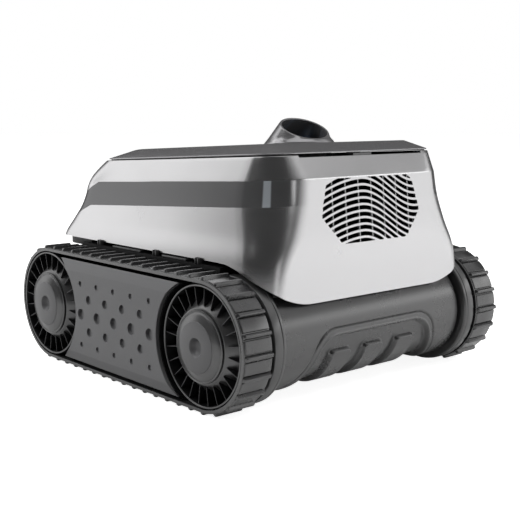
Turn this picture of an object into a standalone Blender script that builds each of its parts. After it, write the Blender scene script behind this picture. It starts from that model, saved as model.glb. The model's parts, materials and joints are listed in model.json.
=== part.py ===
"""Tracked pool cleaner, as an assembly of separate solids.

Metres, +Z up. The origin is on the floor at the middle of the cleaner, +Y is its direction of
travel (the brush end), -Y is the grille end and +X is its right-hand side.
"""
import math

import bmesh
import bpy
from mathutils import Matrix, Vector

# Driving dimensions
WHEELBASE = 0.2784
LUG_RADIUS = 0.0658            # wheel axis to the tips of the belt's lugs
AXLE_Y = WHEELBASE / 2
AXLE_Z = LUG_RADIUS
PITCH = WHEELBASE / 14.5       # between the belt's lugs
GAP = 0.0003                   # between faces that touch

# Belts and wheels
BELT_RADIUS = 0.0621           # wheel axis to the belt's outer face
BELT_BORE = 0.0593             # wheel axis to the belt's inner face
BELT_INNER_X = 0.1489
BELT_OUTER_X = 0.1829
LUGS = 49
LUG_PHASE = 0.97               # where the first lug stands, in pitches from the top rear axis
LUG_FOOT = 0.0027              # half width of a lug at the belt
LUG_CREST = 0.0019             # half width of a lug at its tip
WHEEL_RADIUS = 0.0582
WHEEL_INNER_X = 0.1495
WHEEL_OUTER_X = 0.1825
RIM_BORE = WHEEL_RADIUS - 0.0034
WEB_INNER_X = 0.162            # the wheel's web, with a boss that carries the hub cap
BOSS_FACE_X = 0.1822
BOSS_RADIUS = 0.0345
WEB_KNEE = (0.0400, 0.170)     # radius and distance out where the boss meets the web
WEB_RIM_X = 0.167
HUB_CAP_RADIUS = 0.0346
HUB_CAP_FACE_X = 0.1885
HUB_CAP_PROFILE = [(0, 0.1866), (0.0060, 0.1870), (0.0092, HUB_CAP_FACE_X),
                   (0.0240, HUB_CAP_FACE_X), (HUB_CAP_RADIUS, 0.1855),
                   (HUB_CAP_RADIUS, 0.1825), (0, 0.1825)]
AXLE_RADIUS = 0.006
AXLE_INNER_X = {"rear": 0.1125, "front": 0.1345}
AXLE_OUTER_X = 0.1820
BEARING_RADIUS = 0.0121
BEARING_BORE = 0.0064
BEARING_X = (0.1346, 0.1456)
RING_RADIUS = 0.0623
RING_INNER_X = 0.1305
RING_OUTER_X = 0.1459
RING_PROFILE = [(RING_RADIUS, RING_OUTER_X), (RING_RADIUS, RING_INNER_X), (0.0515, RING_INNER_X),
                (0.0515, 0.119), (0.0485, 0.119), (0.0485, 0.141), (0.018, 0.141),
                (0.018, 0.134), (0.0124, 0.134), (0.0124, RING_OUTER_X)]
BELT_CUT_X = (0.14, 0.19)

# Track frames and side covers, whose long edges are bevelled
FRAME_INNER_X = 0.1243
FRAME_STEP_X = 0.1475
FRAME_OUTER_X = 0.1835
FRAME_FLOOR = 0.012
FRAME_LEDGE = 0.121
FRAME_TOP = 0.134
FRAME_HALF = 0.125
FRAME_CUT_X = (0.11, 0.20)
COVER_BACK_X = 0.1838
COVER_EDGE_X = 0.1843
COVER_FACE_X = 0.1875
COVER_LOW = (0.0110, 0.0210)   # heights of the lower edge and of the face's lower side
COVER_HIGH = (0.1105, 0.1218)  # and of the face's upper side and the upper edge
COVER_HALF = 0.108
COVER_CUT_RADIUS = 0.064
COVER_CUT_X = (0.17, 0.20)

# Rear tube and its grip panel
TUBE_RADIUS = 0.055
TUBE_WALL = 0.003
TUBE_HALF = 0.126
GRIP_FLOOR_RADIUS = 0.0498
GRIP_OUTLINE = [(0.062, 10), (0.088, -12), (0.096, -52)]     # half width, degrees above the rear
GRIP_RECESS = [(0.056, 3), (0.079, -14), (0.085, -46)]
GRIP_PANEL_INNER = 0.046
GRIP_PANEL_HALF = 0.110
GRIP_CLEARANCE = 0.0005
WEDGE_INNER = 0.030            # a cutter's reach through the tube's wall
WEDGE_OUTER = 0.075
PAD_HALF = 0.014
PAD_PITCH = 0.0475
PAD_REACH_Y = (-0.230, -0.100)
PAD_REACH_Z = (-0.020, 0.050)
BORE_OVERRUN = 0.01

# Geared drive motors inside the tube
MOTOR_RADIUS = 0.026
MOTOR_X = (0.034, 0.112)
MOTOR_FOOT_X = (0.045, 0.100)
MOTOR_FOOT_HALF = 0.012
MOTOR_FOOT_DROP = (0.0495, 0.020)

# Lower casing
CASING_HALF = 0.124
CASING_WALL = 0.003
CASING_TOP = 0.146
CASING_FLOOR = 0.022
CASING_REAR = -0.174
CASING_FRONT = 0.168
CASING_OPEN = 0.02             # how far the cutter for its inside runs past the open top
INTAKE_MOUTH = ((-0.060, 0.003, 0.0), (0.060, 0.037, 0.040))
BRUSH_TUNNEL = 0.067
SCREW_X = 0.108
SCREW_Y = {"rear": -0.080, "front": 0.060}
SCREW_RADII = (0.0040, 0.0046)
SCREW_HEIGHT = 0.0022

# Roller brush
BRUSH_CORE = [(0, 0.1315), (0.010, 0.1315), (0.010, 0.1185), (0.030, 0.1185), (0.030, -0.1185),
              (0.010, -0.1185), (0.010, -0.1315), (0, -0.1315)]
BRUSH_FINS = 10
BRUSH_FIN = [(-14, 0.0335), (-2.2, 0.0345), (-1.0, 0.0630), (1.0, 0.0630), (2.2, 0.0345),
             (14, 0.0335)]     # degrees from the fin's middle, radius
SLEEVE_HALF = 0.117
SLEEVE_BORE = 0.0306
SLEEVE_CUT_HALF = 0.13
BUSH_PROFILE = [(0.017, 0.1337), (0.017, 0.1240), (0.0104, 0.1240), (0.0104, 0.1337)]

# Hood levels: height at y = 0, rise per metre of y, half width, rear, front, rear and front radii
BASE = (0.1000, 0.0, 0.1475, 0.1880, 0.1880, 0.026, 0.026)
SILL = (0.1380, 0.0, 0.1450, 0.1865, 0.1850, 0.032, 0.026)
WAIST = (0.1620, -0.020, 0.1365, 0.1848, 0.1775, 0.040, 0.028)
STRIPE = (0.1825, -0.060, 0.1310, 0.1820, 0.1700, 0.046, 0.028)
CREASE = (0.2085, -0.052, 0.1265, 0.1800, 0.1600, 0.045, 0.030)
RIM = (0.2312, -0.051, 0.1190, 0.1685, 0.1350, 0.030, 0.030)
FLANGE = (0.2306, -0.051, 0.1090, 0.1585, 0.1230, 0.022, 0.022)
HOOD_WALL = 0.003
HOOD_EDGE_SIDE = 0.138         # height of the hood's lower edge along its sides
HOOD_EDGE_REAR = 0.101         # and across its rear
EDGE_FALL_START = 0.196        # perimeter distance from the rear centre where the edge starts down
EDGE_FALL_END = 0.080          # and where it has reached the rear height
EDGE_UPSTAND = 0.004           # least height of the first row above the side's lower edge
FINGER_NOTCH = ((-0.088, -0.180, 0.2374), (0.088, -0.130, 0.250))

# Lid and nozzle
LID_RISE = 0.0006
LID_EDGE = (RIM[0] + LID_RISE, RIM[1], 0.1180, 0.1675, 0.1315, 0.029, 0.030)
LID_LIP = (RIM[0] + 0.0018, RIM[1], 0.1180, 0.1675, 0.1315, 0.029, 0.030)
LID_TOP = (RIM[0] + 0.0115, RIM[1], 0.1035, 0.1400, 0.0900, 0.014, 0.020)
LID_WALL = 0.0022
LID_INNER_EDGE = (RIM[0] + LID_RISE, RIM[1], 0.1145, 0.1640, 0.1280, 0.026, 0.027)
LID_INNER_TOP = (LID_TOP[0] - LID_WALL, RIM[1], 0.1015, 0.1380, 0.0880, 0.012, 0.018)
HINGE_Y = 0.1295
HINGE_Z = 0.2232
HINGE_GROOVE = 0.0043
GROOVE_HALF = 0.100            # half length of the groove that the lid's front edge swings into
RELIEF_HALF = 0.1022           # half width over the shallow steps for the lid's front corners
RELIEF_Y = (HINGE_Y - 0.0010, HINGE_Y + 0.0035)
RELIEF_Z = (HINGE_Z - 0.0008, HINGE_Z + 0.0030)
PIN_RADIUS = 0.0013
PIN_HALF = 0.1075
PIN_HOLE_RADIUS = 0.0016
PIN_HOLE_HALF = 0.108
KNUCKLE_X = 0.068
KNUCKLE_HALF = 0.007
KNUCKLE_Y = (HINGE_Y - 0.0022, HINGE_Y + 0.0016)
KNUCKLE_Z = (HINGE_Z - 0.0018, HINGE_Z + 0.0030)
KNUCKLE_BORE_HALF = 0.09
LATCH_SLAB = ((-0.013, -0.1680, 0.2377), (0.013, -0.1540, 0.2396))
LATCH_NOSE = ((-0.009, -0.1570, 0.2385), (0.009, -0.1545, 0.2402))
PUMP_Y = -0.078
NOZZLE_OPENING = 0.034         # radius of the lid's hole for the nozzle's skirt
NOZZLE_CUT_Z = (0.230, 0.280)
NOZZLE_SIDES = 28
SKIRT_DROP = 0.004             # the skirt's lower end, below the lid's top
FOOT_EDGE_INSET = 0.0004       # the foot's upper edge, in from its outline
FOOT_EDGE_RISE = 0.0016
SHOULDER_INSET = (0.0030, 0.0040)
SHOULDER_RISE = 0.0048
INSIDE_INSET = (0.0060, 0.0070)
INSIDE_RISE = 0.0040
FOOT_HALF_X = 0.0385
FOOT_HALF_Y = 0.0360
FOOT_Y = -0.0765
MOUTH_HALF_X = 0.0306
MOUTH_HALF_Y = 0.0226          # along the mouth's own slope
MOUTH_Y = -0.0849
MOUTH_Z = 0.2626
MOUTH_TILT = math.radians(29.5)

# Intake flaps
FLAP_Z = 0.040
FLAP_HALF = 0.0625
FLAP_HALF_THICK = 0.0008
FLAP_Y = {"rear": (0.0016, 0.0195), "front": (0.0384, 0.0205)}     # hinge, tip
INTAKE_DUCT = ((-0.0665, -0.0035, 0.0253), (0.0665, 0.0435, 0.0750))
INTAKE_INSIDE = ((-0.064, -0.001, 0.02), (0.064, 0.041, 0.08))

# Filter basket, pump and electrics, as low and high corners, or radii and heights
BASKET = ((-0.088, -0.041, 0.0760), (0.088, 0.070, 0.2240))
BASKET_INSIDE = ((-0.0855, -0.0385, 0.0785), (0.0855, 0.0675, 0.2300))
BASKET_INLET = ((-0.060, 0.001, 0.0700), (0.060, 0.039, 0.0800))
PUMP_RADIUS = 0.028
PUMP_MOTOR_Z = (0.1250, 0.1660)
SHAFT_RADIUS = 0.004
SHAFT_Z = (0.1664, 0.1960)
IMPELLER_BLADES = 5
IMPELLER_BLADE = [(-30, 0.009), (-5, 0.010), (14, 0.024), (20, 0.024), (6, 0.010)]
IMPELLER_Z = (0.1760, 0.1920)
IMPELLER_BORE = 0.0043
IMPELLER_BORE_Z = (0.17, 0.20)
DUCT_RADIUS = 0.0335
DUCT_BORE = 0.0305
DUCT_Z = (0.1700, 0.2378)
SEAL_BORE = 0.0295
SEAL_Z = (0.2381, 0.2405)
BATTERY = ((0.038, -0.152, 0.1280), (0.106, -0.056, 0.1900))
CONTROL_BOX = ((-0.106, -0.152, 0.1280), (-0.038, -0.056, 0.1620))
FOAM = ((-0.104, 0.078, 0.1500), (0.104, 0.142, 0.1960))

# Vent grille, in the plane of the hood's rear face
GRILLE_Y = -0.1828
GRILLE_Z = 0.1860
GRILLE_TILT = math.radians(4.8)
GRILLE_OUTLINE = [(-0.044, -0.033), (0.044, -0.033), (0.0715, -0.006), (0.0655, 0.021),
                  (0.051, 0.033), (-0.043, 0.033), (-0.0625, 0.026), (-0.0715, -0.006)]
SLAT_PITCH = 0.00644
SLAT_HEIGHT = 0.0022
WAVE_CREST = (-0.014, 0.0045)  # where one slat stands highest
WAVE_FALL_RIGHT = 0.0315       # how far the slats fall to the right of the crest
WAVE_LENGTH_RIGHT = 0.080      # and the length over which they do
WAVE_FALL_LEFT = 0.0108
WAVE_LENGTH_LEFT = 0.052
WAVE_POWER_LEFT = 1.8
SLOT_ROWS = range(-6, 10)      # counted from the crested slat
SLOT_STEPS = 12
SLOT_HALF = 0.075
SLOT_CUT_Y = (-0.01, 0.01)
SLOT_FRAME = 0.0016            # solid edge left between the slots and the outline
FIELD_Y = (-0.008, 0.008)
PLATE_Y = (0.0002, 0.0024)
WINDOW_Y = (-0.02, 0.02)
GRILLE_HALF_X = 0.070          # half sizes that an inset of the outline is measured against
GRILLE_HALF_Z = 0.033
BAR_PITCH = 0.0182
BARS = 7
BAR_HALF = 0.0005
BAR_HALF_HEIGHT = 0.0322
BAR_Y = (0.0012, 0.0022)

# Right-hand controls on the hood's side, whose face leans in towards the top
CONTROL_TILT = math.radians(14.5)
CONTROL_X = 0.1347
CONTROL_Z = 0.169
BUTTON_Y = 0.060
SOCKET_Y = -0.020
CAP_INNER = 0.0012             # cap's inner and outer faces, out from the hood's side
CAP_OUTER = 0.0034
CAP_TOP = 0.0150               # cap's top edge, which is its hinge line
CAP_HALF = 0.0130
HOLE_X = (-0.02, 0.02)
BUTTON_HOLE = 0.0083
SOCKET_HOLE = 0.0093
BUTTON_RADIUS = 0.0080
BUTTON_X = (-0.0060, 0.0022)
SOCKET_RADIUS = 0.0090
SOCKET_X = (-0.0160, 0.0006)
SOCKET_BORE = 0.0055
SOCKET_BORE_X = (-0.0120, 0.0050)

SCENE = bpy.context.scene
FINISHES = {
    "silver_paint": ((0.62, 0.62, 0.63), 0.30, 0.70),
    "lid_gloss": ((0.055, 0.055, 0.060), 0.30, 0.20),
    "dark_satin": ((0.070, 0.070, 0.075), 0.42, 0.0),
    "cover_grain": ((0.095, 0.095, 0.100), 0.60, 0.0),
    "black_plastic": ((0.018, 0.018, 0.020), 0.50, 0.0),
    "track_rubber": ((0.028, 0.028, 0.030), 0.62, 0.0),
    "steel": ((0.55, 0.55, 0.56), 0.30, 1.0),
    "foam": ((0.75, 0.75, 0.70), 0.90, 0.0),
    "filter_fabric": ((0.30, 0.42, 0.50), 0.80, 0.0),
    "blue_rubber": ((0.10, 0.22, 0.38), 0.65, 0.0),
}


def clear_scene():
    for obj in list(bpy.data.objects):
        bpy.data.objects.remove(obj, do_unlink=True)


def collection(name):
    group = bpy.data.collections.new(name)
    SCENE.collection.children.link(group)
    return group


clear_scene()
PARTS = collection("pool_cleaner")
CUTTERS = collection("cutters")


def finish_material(part_name, finish):
    colour, roughness, metallic = FINISHES[finish]
    mat = bpy.data.materials.new(part_name)
    mat.use_nodes = True
    shader = mat.node_tree.nodes["Principled BSDF"]
    shader.inputs["Base Color"].default_value = (*colour, 1.0)
    shader.inputs["Roughness"].default_value = roughness
    shader.inputs["Metallic"].default_value = metallic
    return mat


def place(obj, finish, location=(0, 0, 0), rotation=(0, 0, 0), parent=None):
    """Link a part, or a cutter when it has no finish, and set where it stands."""
    obj.location = location
    obj.rotation_euler = rotation
    obj.parent = parent
    if finish is None:
        obj.hide_render = True
        obj.display_type = "WIRE"
        CUTTERS.objects.link(obj)
    else:
        obj.data.materials.append(finish_material(obj.name, finish))
        PARTS.objects.link(obj)
    return obj


def solid(name, bm, finish, **where):
    bmesh.ops.recalc_face_normals(bm, faces=bm.faces)
    mesh = bpy.data.meshes.new(name)
    bm.to_mesh(mesh)
    bm.free()
    return place(bpy.data.objects.new(name, mesh), finish, **where)


def add_box(bm, low, high):
    size = [b - a for a, b in zip(low, high)]
    middle = [(a + b) / 2 for a, b in zip(low, high)]
    matrix = Matrix.Translation(middle) @ Matrix.Diagonal((*size, 1))
    bmesh.ops.create_cube(bm, size=1, matrix=matrix)


def boxes(name, spans, finish, **where):
    """One object of one or more boxes, each given by its low and high corner."""
    bm = bmesh.new()
    for low, high in spans:
        add_box(bm, low, high)
    return solid(name, bm, finish, **where)


def rod(name, radius, ends, finish, axis="X", centre=(0, 0, 0), sides=24, **where):
    """A round bar along an axis, between two positions on it."""
    bm = bmesh.new()
    bmesh.ops.create_cone(bm, cap_ends=True, segments=sides, radius1=radius, radius2=radius,
                          depth=abs(ends[1] - ends[0]))
    turn = {"X": Matrix.Rotation(math.pi / 2, 4, "Y"), "Z": Matrix.Identity(4)}[axis]
    offset = {"X": Vector((1, 0, 0)), "Z": Vector((0, 0, 1))}[axis] * (ends[0] + ends[1]) / 2
    bmesh.ops.transform(bm, matrix=Matrix.Translation(Vector(centre) + offset) @ turn, verts=bm.verts)
    return solid(name, bm, finish, **where)


def prism(name, outline, ends, finish, axis="X", **where):
    """A flat outline swept along an axis: (y, z) along X, (x, z) along Y, (x, y) along Z."""
    def point(a, b, t):
        return {"X": (t, a, b), "Y": (a, t, b), "Z": (a, b, t)}[axis]
    bm = bmesh.new()
    face = bm.faces.new([bm.verts.new(point(a, b, ends[0])) for a, b in outline])
    grown = bmesh.ops.extrude_face_region(bm, geom=[face])["geom"]
    moved = [v for v in grown if isinstance(v, bmesh.types.BMVert)]
    bmesh.ops.translate(bm, vec=point(0, 0, ends[1] - ends[0]), verts=moved)
    return solid(name, bm, finish, **where)


def turned(name, profile, finish, closed=True, steps=26, **where):
    """A profile of (radius, height) points turned about the local Z axis."""
    mesh = bpy.data.meshes.new(name)
    points = [(radius, 0, height) for radius, height in profile]
    edges = [(i, i + 1) for i in range(len(points) - 1)]
    if closed:
        edges.append((len(points) - 1, 0))
    mesh.from_pydata(points, edges, [])
    obj = place(bpy.data.objects.new(name, mesh), finish, **where)
    screw = obj.modifiers.new("Turn", "SCREW")
    screw.steps = steps
    screw.render_steps = steps
    screw.use_merge_vertices = True
    screw.merge_threshold = 0.00001
    return obj


def loft(name, rings, finish, cap_top=False, cap_bottom=False, closed=False, **where):
    """Skin over closed rings of points, listed up the outside, and down the inside if closed."""
    bm = bmesh.new()
    rows = [[bm.verts.new(p) for p in ring] for ring in rings]
    if closed:
        rows.append(rows[0])
    for low, high in zip(rows, rows[1:]):
        for i in range(len(low)):
            j = (i + 1) % len(low)
            bm.faces.new([low[i], low[j], high[j], high[i]])
    if cap_top:
        bm.faces.new(rows[-1])
    if cap_bottom:
        bm.faces.new(list(reversed(rows[0])))
    mesh = bpy.data.meshes.new(name)
    bm.to_mesh(mesh)
    bm.free()
    return place(bpy.data.objects.new(name, mesh), finish, **where)


def thicken(obj, wall):
    """Give an open skin a wall that lies inside it."""
    shell = obj.modifiers.new("Wall", "SOLIDIFY")
    shell.thickness = wall
    shell.offset = -1
    shell.use_even_offset = True


def boolean(target, tool, operation="DIFFERENCE"):
    step = target.modifiers.new(tool.name, "BOOLEAN")
    step.operation = operation
    step.solver = "EXACT"
    step.object = tool


def arc(centre, radius, start, end, steps):
    """Points on an arc, from a start to an end angle in degrees."""
    angles = [math.radians(start + (end - start) * i / steps) for i in range(steps + 1)]
    return [(centre[0] + radius * math.cos(a), centre[1] + radius * math.sin(a)) for a in angles]


def hang(name, location, *parts):
    """Parent moving parts to an empty on their joint's axis, and leave them where they stand."""
    pivot = bpy.data.objects.new(name + "_pivot", None)
    pivot.location = location
    CUTTERS.objects.link(pivot)
    for part in parts:
        part.parent = pivot
        part.matrix_parent_inverse = Matrix.Translation(-Vector(location))


def side_name(side):
    return "right" if side > 0 else "left"


def outward(side):
    """Rotation that turns local +Z to the outside of one side of the cleaner."""
    return (0, side * math.pi / 2, 0)


# ---------------------------------------------------------------- hood and lid outlines

REAR_STEPS = 4
CORNER_STEPS = 6
SIDE_STEPS = 6
FRONT_STEPS = 2


def plan(level):
    """Plan outline of a level, anticlockwise from the rear centre, at the level's height."""
    z0, rise, half, rear, front, rear_radius, front_radius = level
    rear_corner = (half - rear_radius, rear_radius - rear)
    front_corner = (half - front_radius, front - front_radius)
    right = [(rear_corner[0] * i / REAR_STEPS, -rear) for i in range(REAR_STEPS)]
    right += arc(rear_corner, rear_radius, -90, 0, CORNER_STEPS)
    for i in range(1, SIDE_STEPS):
        right.append((half, rear_corner[1] + (front_corner[1] - rear_corner[1]) * i / SIDE_STEPS))
    right += arc(front_corner, front_radius, 0, 90, CORNER_STEPS)
    right += [(front_corner[0] * (1 - i / FRONT_STEPS), front) for i in range(1, FRONT_STEPS)]
    left = [(-x, y) for x, y in reversed(right[1:])]
    outline = right + [(0, front)] + left
    return [Vector((x, y, z0 + rise * y)) for x, y in outline]


def at_height(column, z):
    """The point at height z on a column of points listed from the bottom up."""
    for low, high in zip(column, column[1:]):
        if z <= high.z:
            return low.lerp(high, (z - low.z) / (high.z - low.z))
    return column[-1].copy()


def perimeter_from_rear(outline):
    """Distance of each outline point from the rear centre, the shorter way round."""
    count = len(outline)
    steps = [(outline[(i + 1) % count] - outline[i]).length for i in range(count)]
    along = [sum(steps[:i]) for i in range(count)]
    return [min(s, sum(steps) - s) for s in along]


def hood_edge_height(distance):
    """The hood's lower edge falls in a smooth sweep from its sides to its rear."""
    t = (distance - EDGE_FALL_END) / (EDGE_FALL_START - EDGE_FALL_END)
    t = min(1.0, max(0.0, t))
    return HOOD_EDGE_REAR + (HOOD_EDGE_SIDE - HOOD_EDGE_REAR) * t * t * (3 - 2 * t)


def hood_rings():
    levels = [plan(level) for level in (BASE, SILL, WAIST, STRIPE, CREASE, RIM)]
    flange = plan(FLANGE)
    edge_heights = [hood_edge_height(d) for d in perimeter_from_rear(levels[1])]
    rings = [[], []]
    for i, edge in enumerate(edge_heights):
        column = [level[i] for level in levels]
        rings[0].append(at_height(column, edge))
        rings[1].append(at_height(column, max(HOOD_EDGE_SIDE + EDGE_UPSTAND, edge)))
    return rings + levels[2:] + [flange]


# ---------------------------------------------------------------- housings

def make_hood():
    hood = loft("hood", hood_rings(), "silver_paint")
    thicken(hood, HOOD_WALL)
    plane = grille_plane()
    window = prism("grille_window", grille_outline(0), WINDOW_Y, None, "Y", parent=plane)
    boolean(hood, window)
    notch = boxes("finger_notch", [FINGER_NOTCH], None)
    boolean(hood, notch)
    groove = rod("hinge_groove", HINGE_GROOVE, (-GROOVE_HALF, GROOVE_HALF), None,
                 centre=(0, HINGE_Y, HINGE_Z))
    boolean(hood, groove)
    relief = boxes("corner_relief", [((-RELIEF_HALF, RELIEF_Y[0], RELIEF_Z[0]),
                                      (RELIEF_HALF, RELIEF_Y[1], RELIEF_Z[1]))], None)
    boolean(hood, relief)
    pin_holes = rod("hinge_pin_holes", PIN_HOLE_RADIUS, (-PIN_HOLE_HALF, PIN_HOLE_HALF), None,
                    sides=16, centre=(0, HINGE_Y, HINGE_Z))
    boolean(hood, pin_holes)
    for name, y, radius in (("button_hole", BUTTON_Y, BUTTON_HOLE),
                            ("socket_hole", SOCKET_Y, SOCKET_HOLE)):
        hole = rod(name, radius, HOLE_X, None, sides=20, parent=control_frame(name, y))
        boolean(hood, hole)


def make_lid():
    levels = (LID_INNER_TOP, LID_INNER_EDGE, LID_EDGE, LID_LIP, LID_TOP)
    lid = loft("lid", [plan(level) for level in levels], "lid_gloss", cap_top=True, cap_bottom=True)
    knuckles = boxes("lid_knuckles", [
        ((side * KNUCKLE_X - KNUCKLE_HALF, KNUCKLE_Y[0], KNUCKLE_Z[0]),
         (side * KNUCKLE_X + KNUCKLE_HALF, KNUCKLE_Y[1], KNUCKLE_Z[1])) for side in (-1, 1)], None)
    boolean(lid, knuckles, "UNION")
    bore = rod("knuckle_bore", PIN_HOLE_RADIUS, (-KNUCKLE_BORE_HALF, KNUCKLE_BORE_HALF), None,
               sides=16, centre=(0, HINGE_Y, HINGE_Z))
    boolean(lid, bore)
    opening = rod("nozzle_opening", NOZZLE_OPENING, NOZZLE_CUT_Z, None, "Z",
                  centre=(0, PUMP_Y, 0), sides=32)
    boolean(lid, opening)
    return lid


def make_lid_hinge_pin():
    rod("lid_hinge_pin", PIN_RADIUS, (-PIN_HALF, PIN_HALF), "steel", sides=12,
        centre=(0, HINGE_Y, HINGE_Z))


def make_lid_latch():
    latch = boxes("lid_latch", [LATCH_SLAB], "dark_satin")
    boolean(latch, boxes("latch_nose", [LATCH_NOSE], None), "UNION")


def make_nozzle():
    """A leaning oval tube with a foot on the lid, a skirt through it and an oblique mouth."""
    def ring(half_x, half_y, centre_y, height_at):
        points = []
        for i in range(NOZZLE_SIDES):
            a = 2 * math.pi * i / NOZZLE_SIDES
            y = centre_y + half_y * math.sin(a)
            points.append((half_x * math.cos(a), y, height_at(y)))
        return points

    def above_lid(rise):
        return lambda y: LID_TOP[0] + LID_TOP[1] * y + rise

    def mouth(y):
        return MOUTH_Z + (y - MOUTH_Y) * math.tan(MOUTH_TILT)

    wall = LID_WALL
    mouth_y = MOUTH_HALF_Y * math.cos(MOUTH_TILT)
    skirt = NOZZLE_OPENING - 2 * GAP
    rings = [
        ring(skirt - wall, skirt - wall, PUMP_Y, above_lid(-SKIRT_DROP)),
        ring(skirt, skirt, PUMP_Y, above_lid(-SKIRT_DROP)),
        ring(skirt, skirt, PUMP_Y, above_lid(GAP)),
        ring(FOOT_HALF_X, FOOT_HALF_Y, FOOT_Y, above_lid(GAP)),
        ring(FOOT_HALF_X - FOOT_EDGE_INSET, FOOT_HALF_Y - FOOT_EDGE_INSET, FOOT_Y,
             above_lid(FOOT_EDGE_RISE)),
        ring(FOOT_HALF_X - SHOULDER_INSET[0], FOOT_HALF_Y - SHOULDER_INSET[1], FOOT_Y,
             above_lid(SHOULDER_RISE)),
        ring(MOUTH_HALF_X, mouth_y, MOUTH_Y, mouth),
        ring(MOUTH_HALF_X - wall, mouth_y - wall, MOUTH_Y, mouth),
        ring(FOOT_HALF_X - INSIDE_INSET[0], FOOT_HALF_Y - INSIDE_INSET[1], FOOT_Y,
             above_lid(INSIDE_RISE)),
    ]
    return loft("outlet_nozzle", rings, "lid_gloss", closed=True)


def make_lid_assembly():
    hang("lid_hinge", (0, HINGE_Y, HINGE_Z), make_lid(), make_nozzle())


def side_outline(radius_rear, radius_front, floor, rear, front, top):
    """Side view of the lower casing: over the tube, down to the floor, up over the brush."""
    tube = (-AXLE_Y, AXLE_Z)
    brush = (AXLE_Y, AXLE_Z)
    drop = AXLE_Z - floor
    rear_start = math.degrees(math.acos((rear + AXLE_Y) / radius_rear))
    rear_end = -math.degrees(math.asin(drop / radius_rear))
    front_start = 180 + math.degrees(math.asin(drop / radius_front))
    front_end = math.degrees(math.acos((front - AXLE_Y) / radius_front))
    outline = [(rear, top)]
    outline += arc(tube, radius_rear, rear_start, rear_end, 16)
    outline += arc(brush, radius_front, front_start, front_end, 14)
    outline.append((front, top))
    return outline


def make_lower_casing():
    tube_clear = TUBE_RADIUS + 2 * GAP
    outer = side_outline(tube_clear, BRUSH_TUNNEL, CASING_FLOOR, CASING_REAR, CASING_FRONT,
                         CASING_TOP)
    inner = side_outline(tube_clear + CASING_WALL, BRUSH_TUNNEL + CASING_WALL,
                         CASING_FLOOR + CASING_WALL, CASING_REAR + CASING_WALL,
                         CASING_FRONT - CASING_WALL, CASING_TOP + CASING_OPEN)
    casing = prism("lower_casing", outer, (-CASING_HALF, CASING_HALF), "black_plastic")
    inner_half = CASING_HALF - CASING_WALL
    boolean(casing, prism("casing_inside", inner, (-inner_half, inner_half), None))
    mouth = boxes("intake_mouth", [INTAKE_MOUTH], None)
    boolean(casing, mouth)


def polar(x, degrees, radius):
    """A point on the rear tube, by its angle above the straight-back direction."""
    a = math.radians(degrees)
    return (x, -AXLE_Y - radius * math.cos(a), AXLE_Z + radius * math.sin(a))


def tube_wedge(name, outline, inner, outer, inset=0.0):
    """A cutter over an outline on the rear tube, from an inner to an outer radius."""
    def ring(radius):
        right = [polar(half - inset, angle, radius) for half, angle in outline]
        left = [polar(inset - half, angle, radius) for half, angle in reversed(outline)]
        return right + left
    bm = bmesh.new()
    low = [bm.verts.new(p) for p in ring(inner)]
    high = [bm.verts.new(p) for p in ring(outer)]
    for i in range(len(low)):
        j = (i + 1) % len(low)
        bm.faces.new([low[i], low[j], high[j], high[i]])
    bm.faces.new(low)
    bm.faces.new(list(reversed(high)))
    bmesh.ops.triangulate(bm, faces=bm.faces)
    return solid(name, bm, None)


def hollow_bar(name, outer, inner, half, finish, sides=40):
    bar = rod(name, outer, (-half, half), finish, centre=(0, -AXLE_Y, AXLE_Z), sides=sides)
    bore = rod(name + "_bore", inner, (-half - BORE_OVERRUN, half + BORE_OVERRUN), None,
               centre=(0, -AXLE_Y, AXLE_Z), sides=sides)
    boolean(bar, bore)
    return bar


def make_rear_tube():
    tube = hollow_bar("rear_tube", TUBE_RADIUS, TUBE_RADIUS - TUBE_WALL, TUBE_HALF, "dark_satin")
    boolean(tube, tube_wedge("grip_window", GRIP_OUTLINE, WEDGE_INNER, WEDGE_OUTER))
    panel = hollow_bar("grip_panel", TUBE_RADIUS - GAP, GRIP_PANEL_INNER, GRIP_PANEL_HALF,
                       "dark_satin")
    boolean(panel, tube_wedge("grip_shape", GRIP_OUTLINE, WEDGE_INNER, WEDGE_OUTER,
                              inset=GRIP_CLEARANCE), "INTERSECT")
    recess = tube_wedge("grip_recess", GRIP_RECESS, GRIP_FLOOR_RADIUS, WEDGE_OUTER)
    pads = boxes("grip_pads", [
        ((i * PAD_PITCH - PAD_HALF, PAD_REACH_Y[0], PAD_REACH_Z[0]),
         (i * PAD_PITCH + PAD_HALF, PAD_REACH_Y[1], PAD_REACH_Z[1]))
        for i in (-1, 0, 1)], None)
    boolean(recess, pads)
    boolean(panel, recess)


def make_end_rings():
    for side in (-1, 1):
        for end, y in (("rear", -AXLE_Y), ("front", AXLE_Y)):
            turned(f"end_ring_{end}_{side_name(side)}", RING_PROFILE, "dark_satin",
                   location=(0, y, AXLE_Z), rotation=outward(side))


# ---------------------------------------------------------------- tracks

def make_track_frames():
    """An L-shaped rail between the wheels: a fender under the hood and the cover's backing."""
    for side in (-1, 1):
        inner = FRAME_INNER_X * side
        step = FRAME_STEP_X * side
        outer = FRAME_OUTER_X * side
        outline = [(inner, FRAME_FLOOR), (outer, FRAME_FLOOR), (outer, FRAME_LEDGE),
                   (step, FRAME_LEDGE), (step, FRAME_TOP), (inner, FRAME_TOP)]
        frame = prism(f"track_frame_{side_name(side)}", outline, (-FRAME_HALF, FRAME_HALF),
                      "black_plastic", "Y")
        for end in (-1, 1):
            cut = rod(f"frame_cut_{side_name(side)}_{end}", RING_RADIUS + 2 * GAP,
                      (FRAME_CUT_X[0] * side, FRAME_CUT_X[1] * side), None,
                      centre=(0, end * AXLE_Y, AXLE_Z), sides=40)
            boolean(frame, cut)


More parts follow.
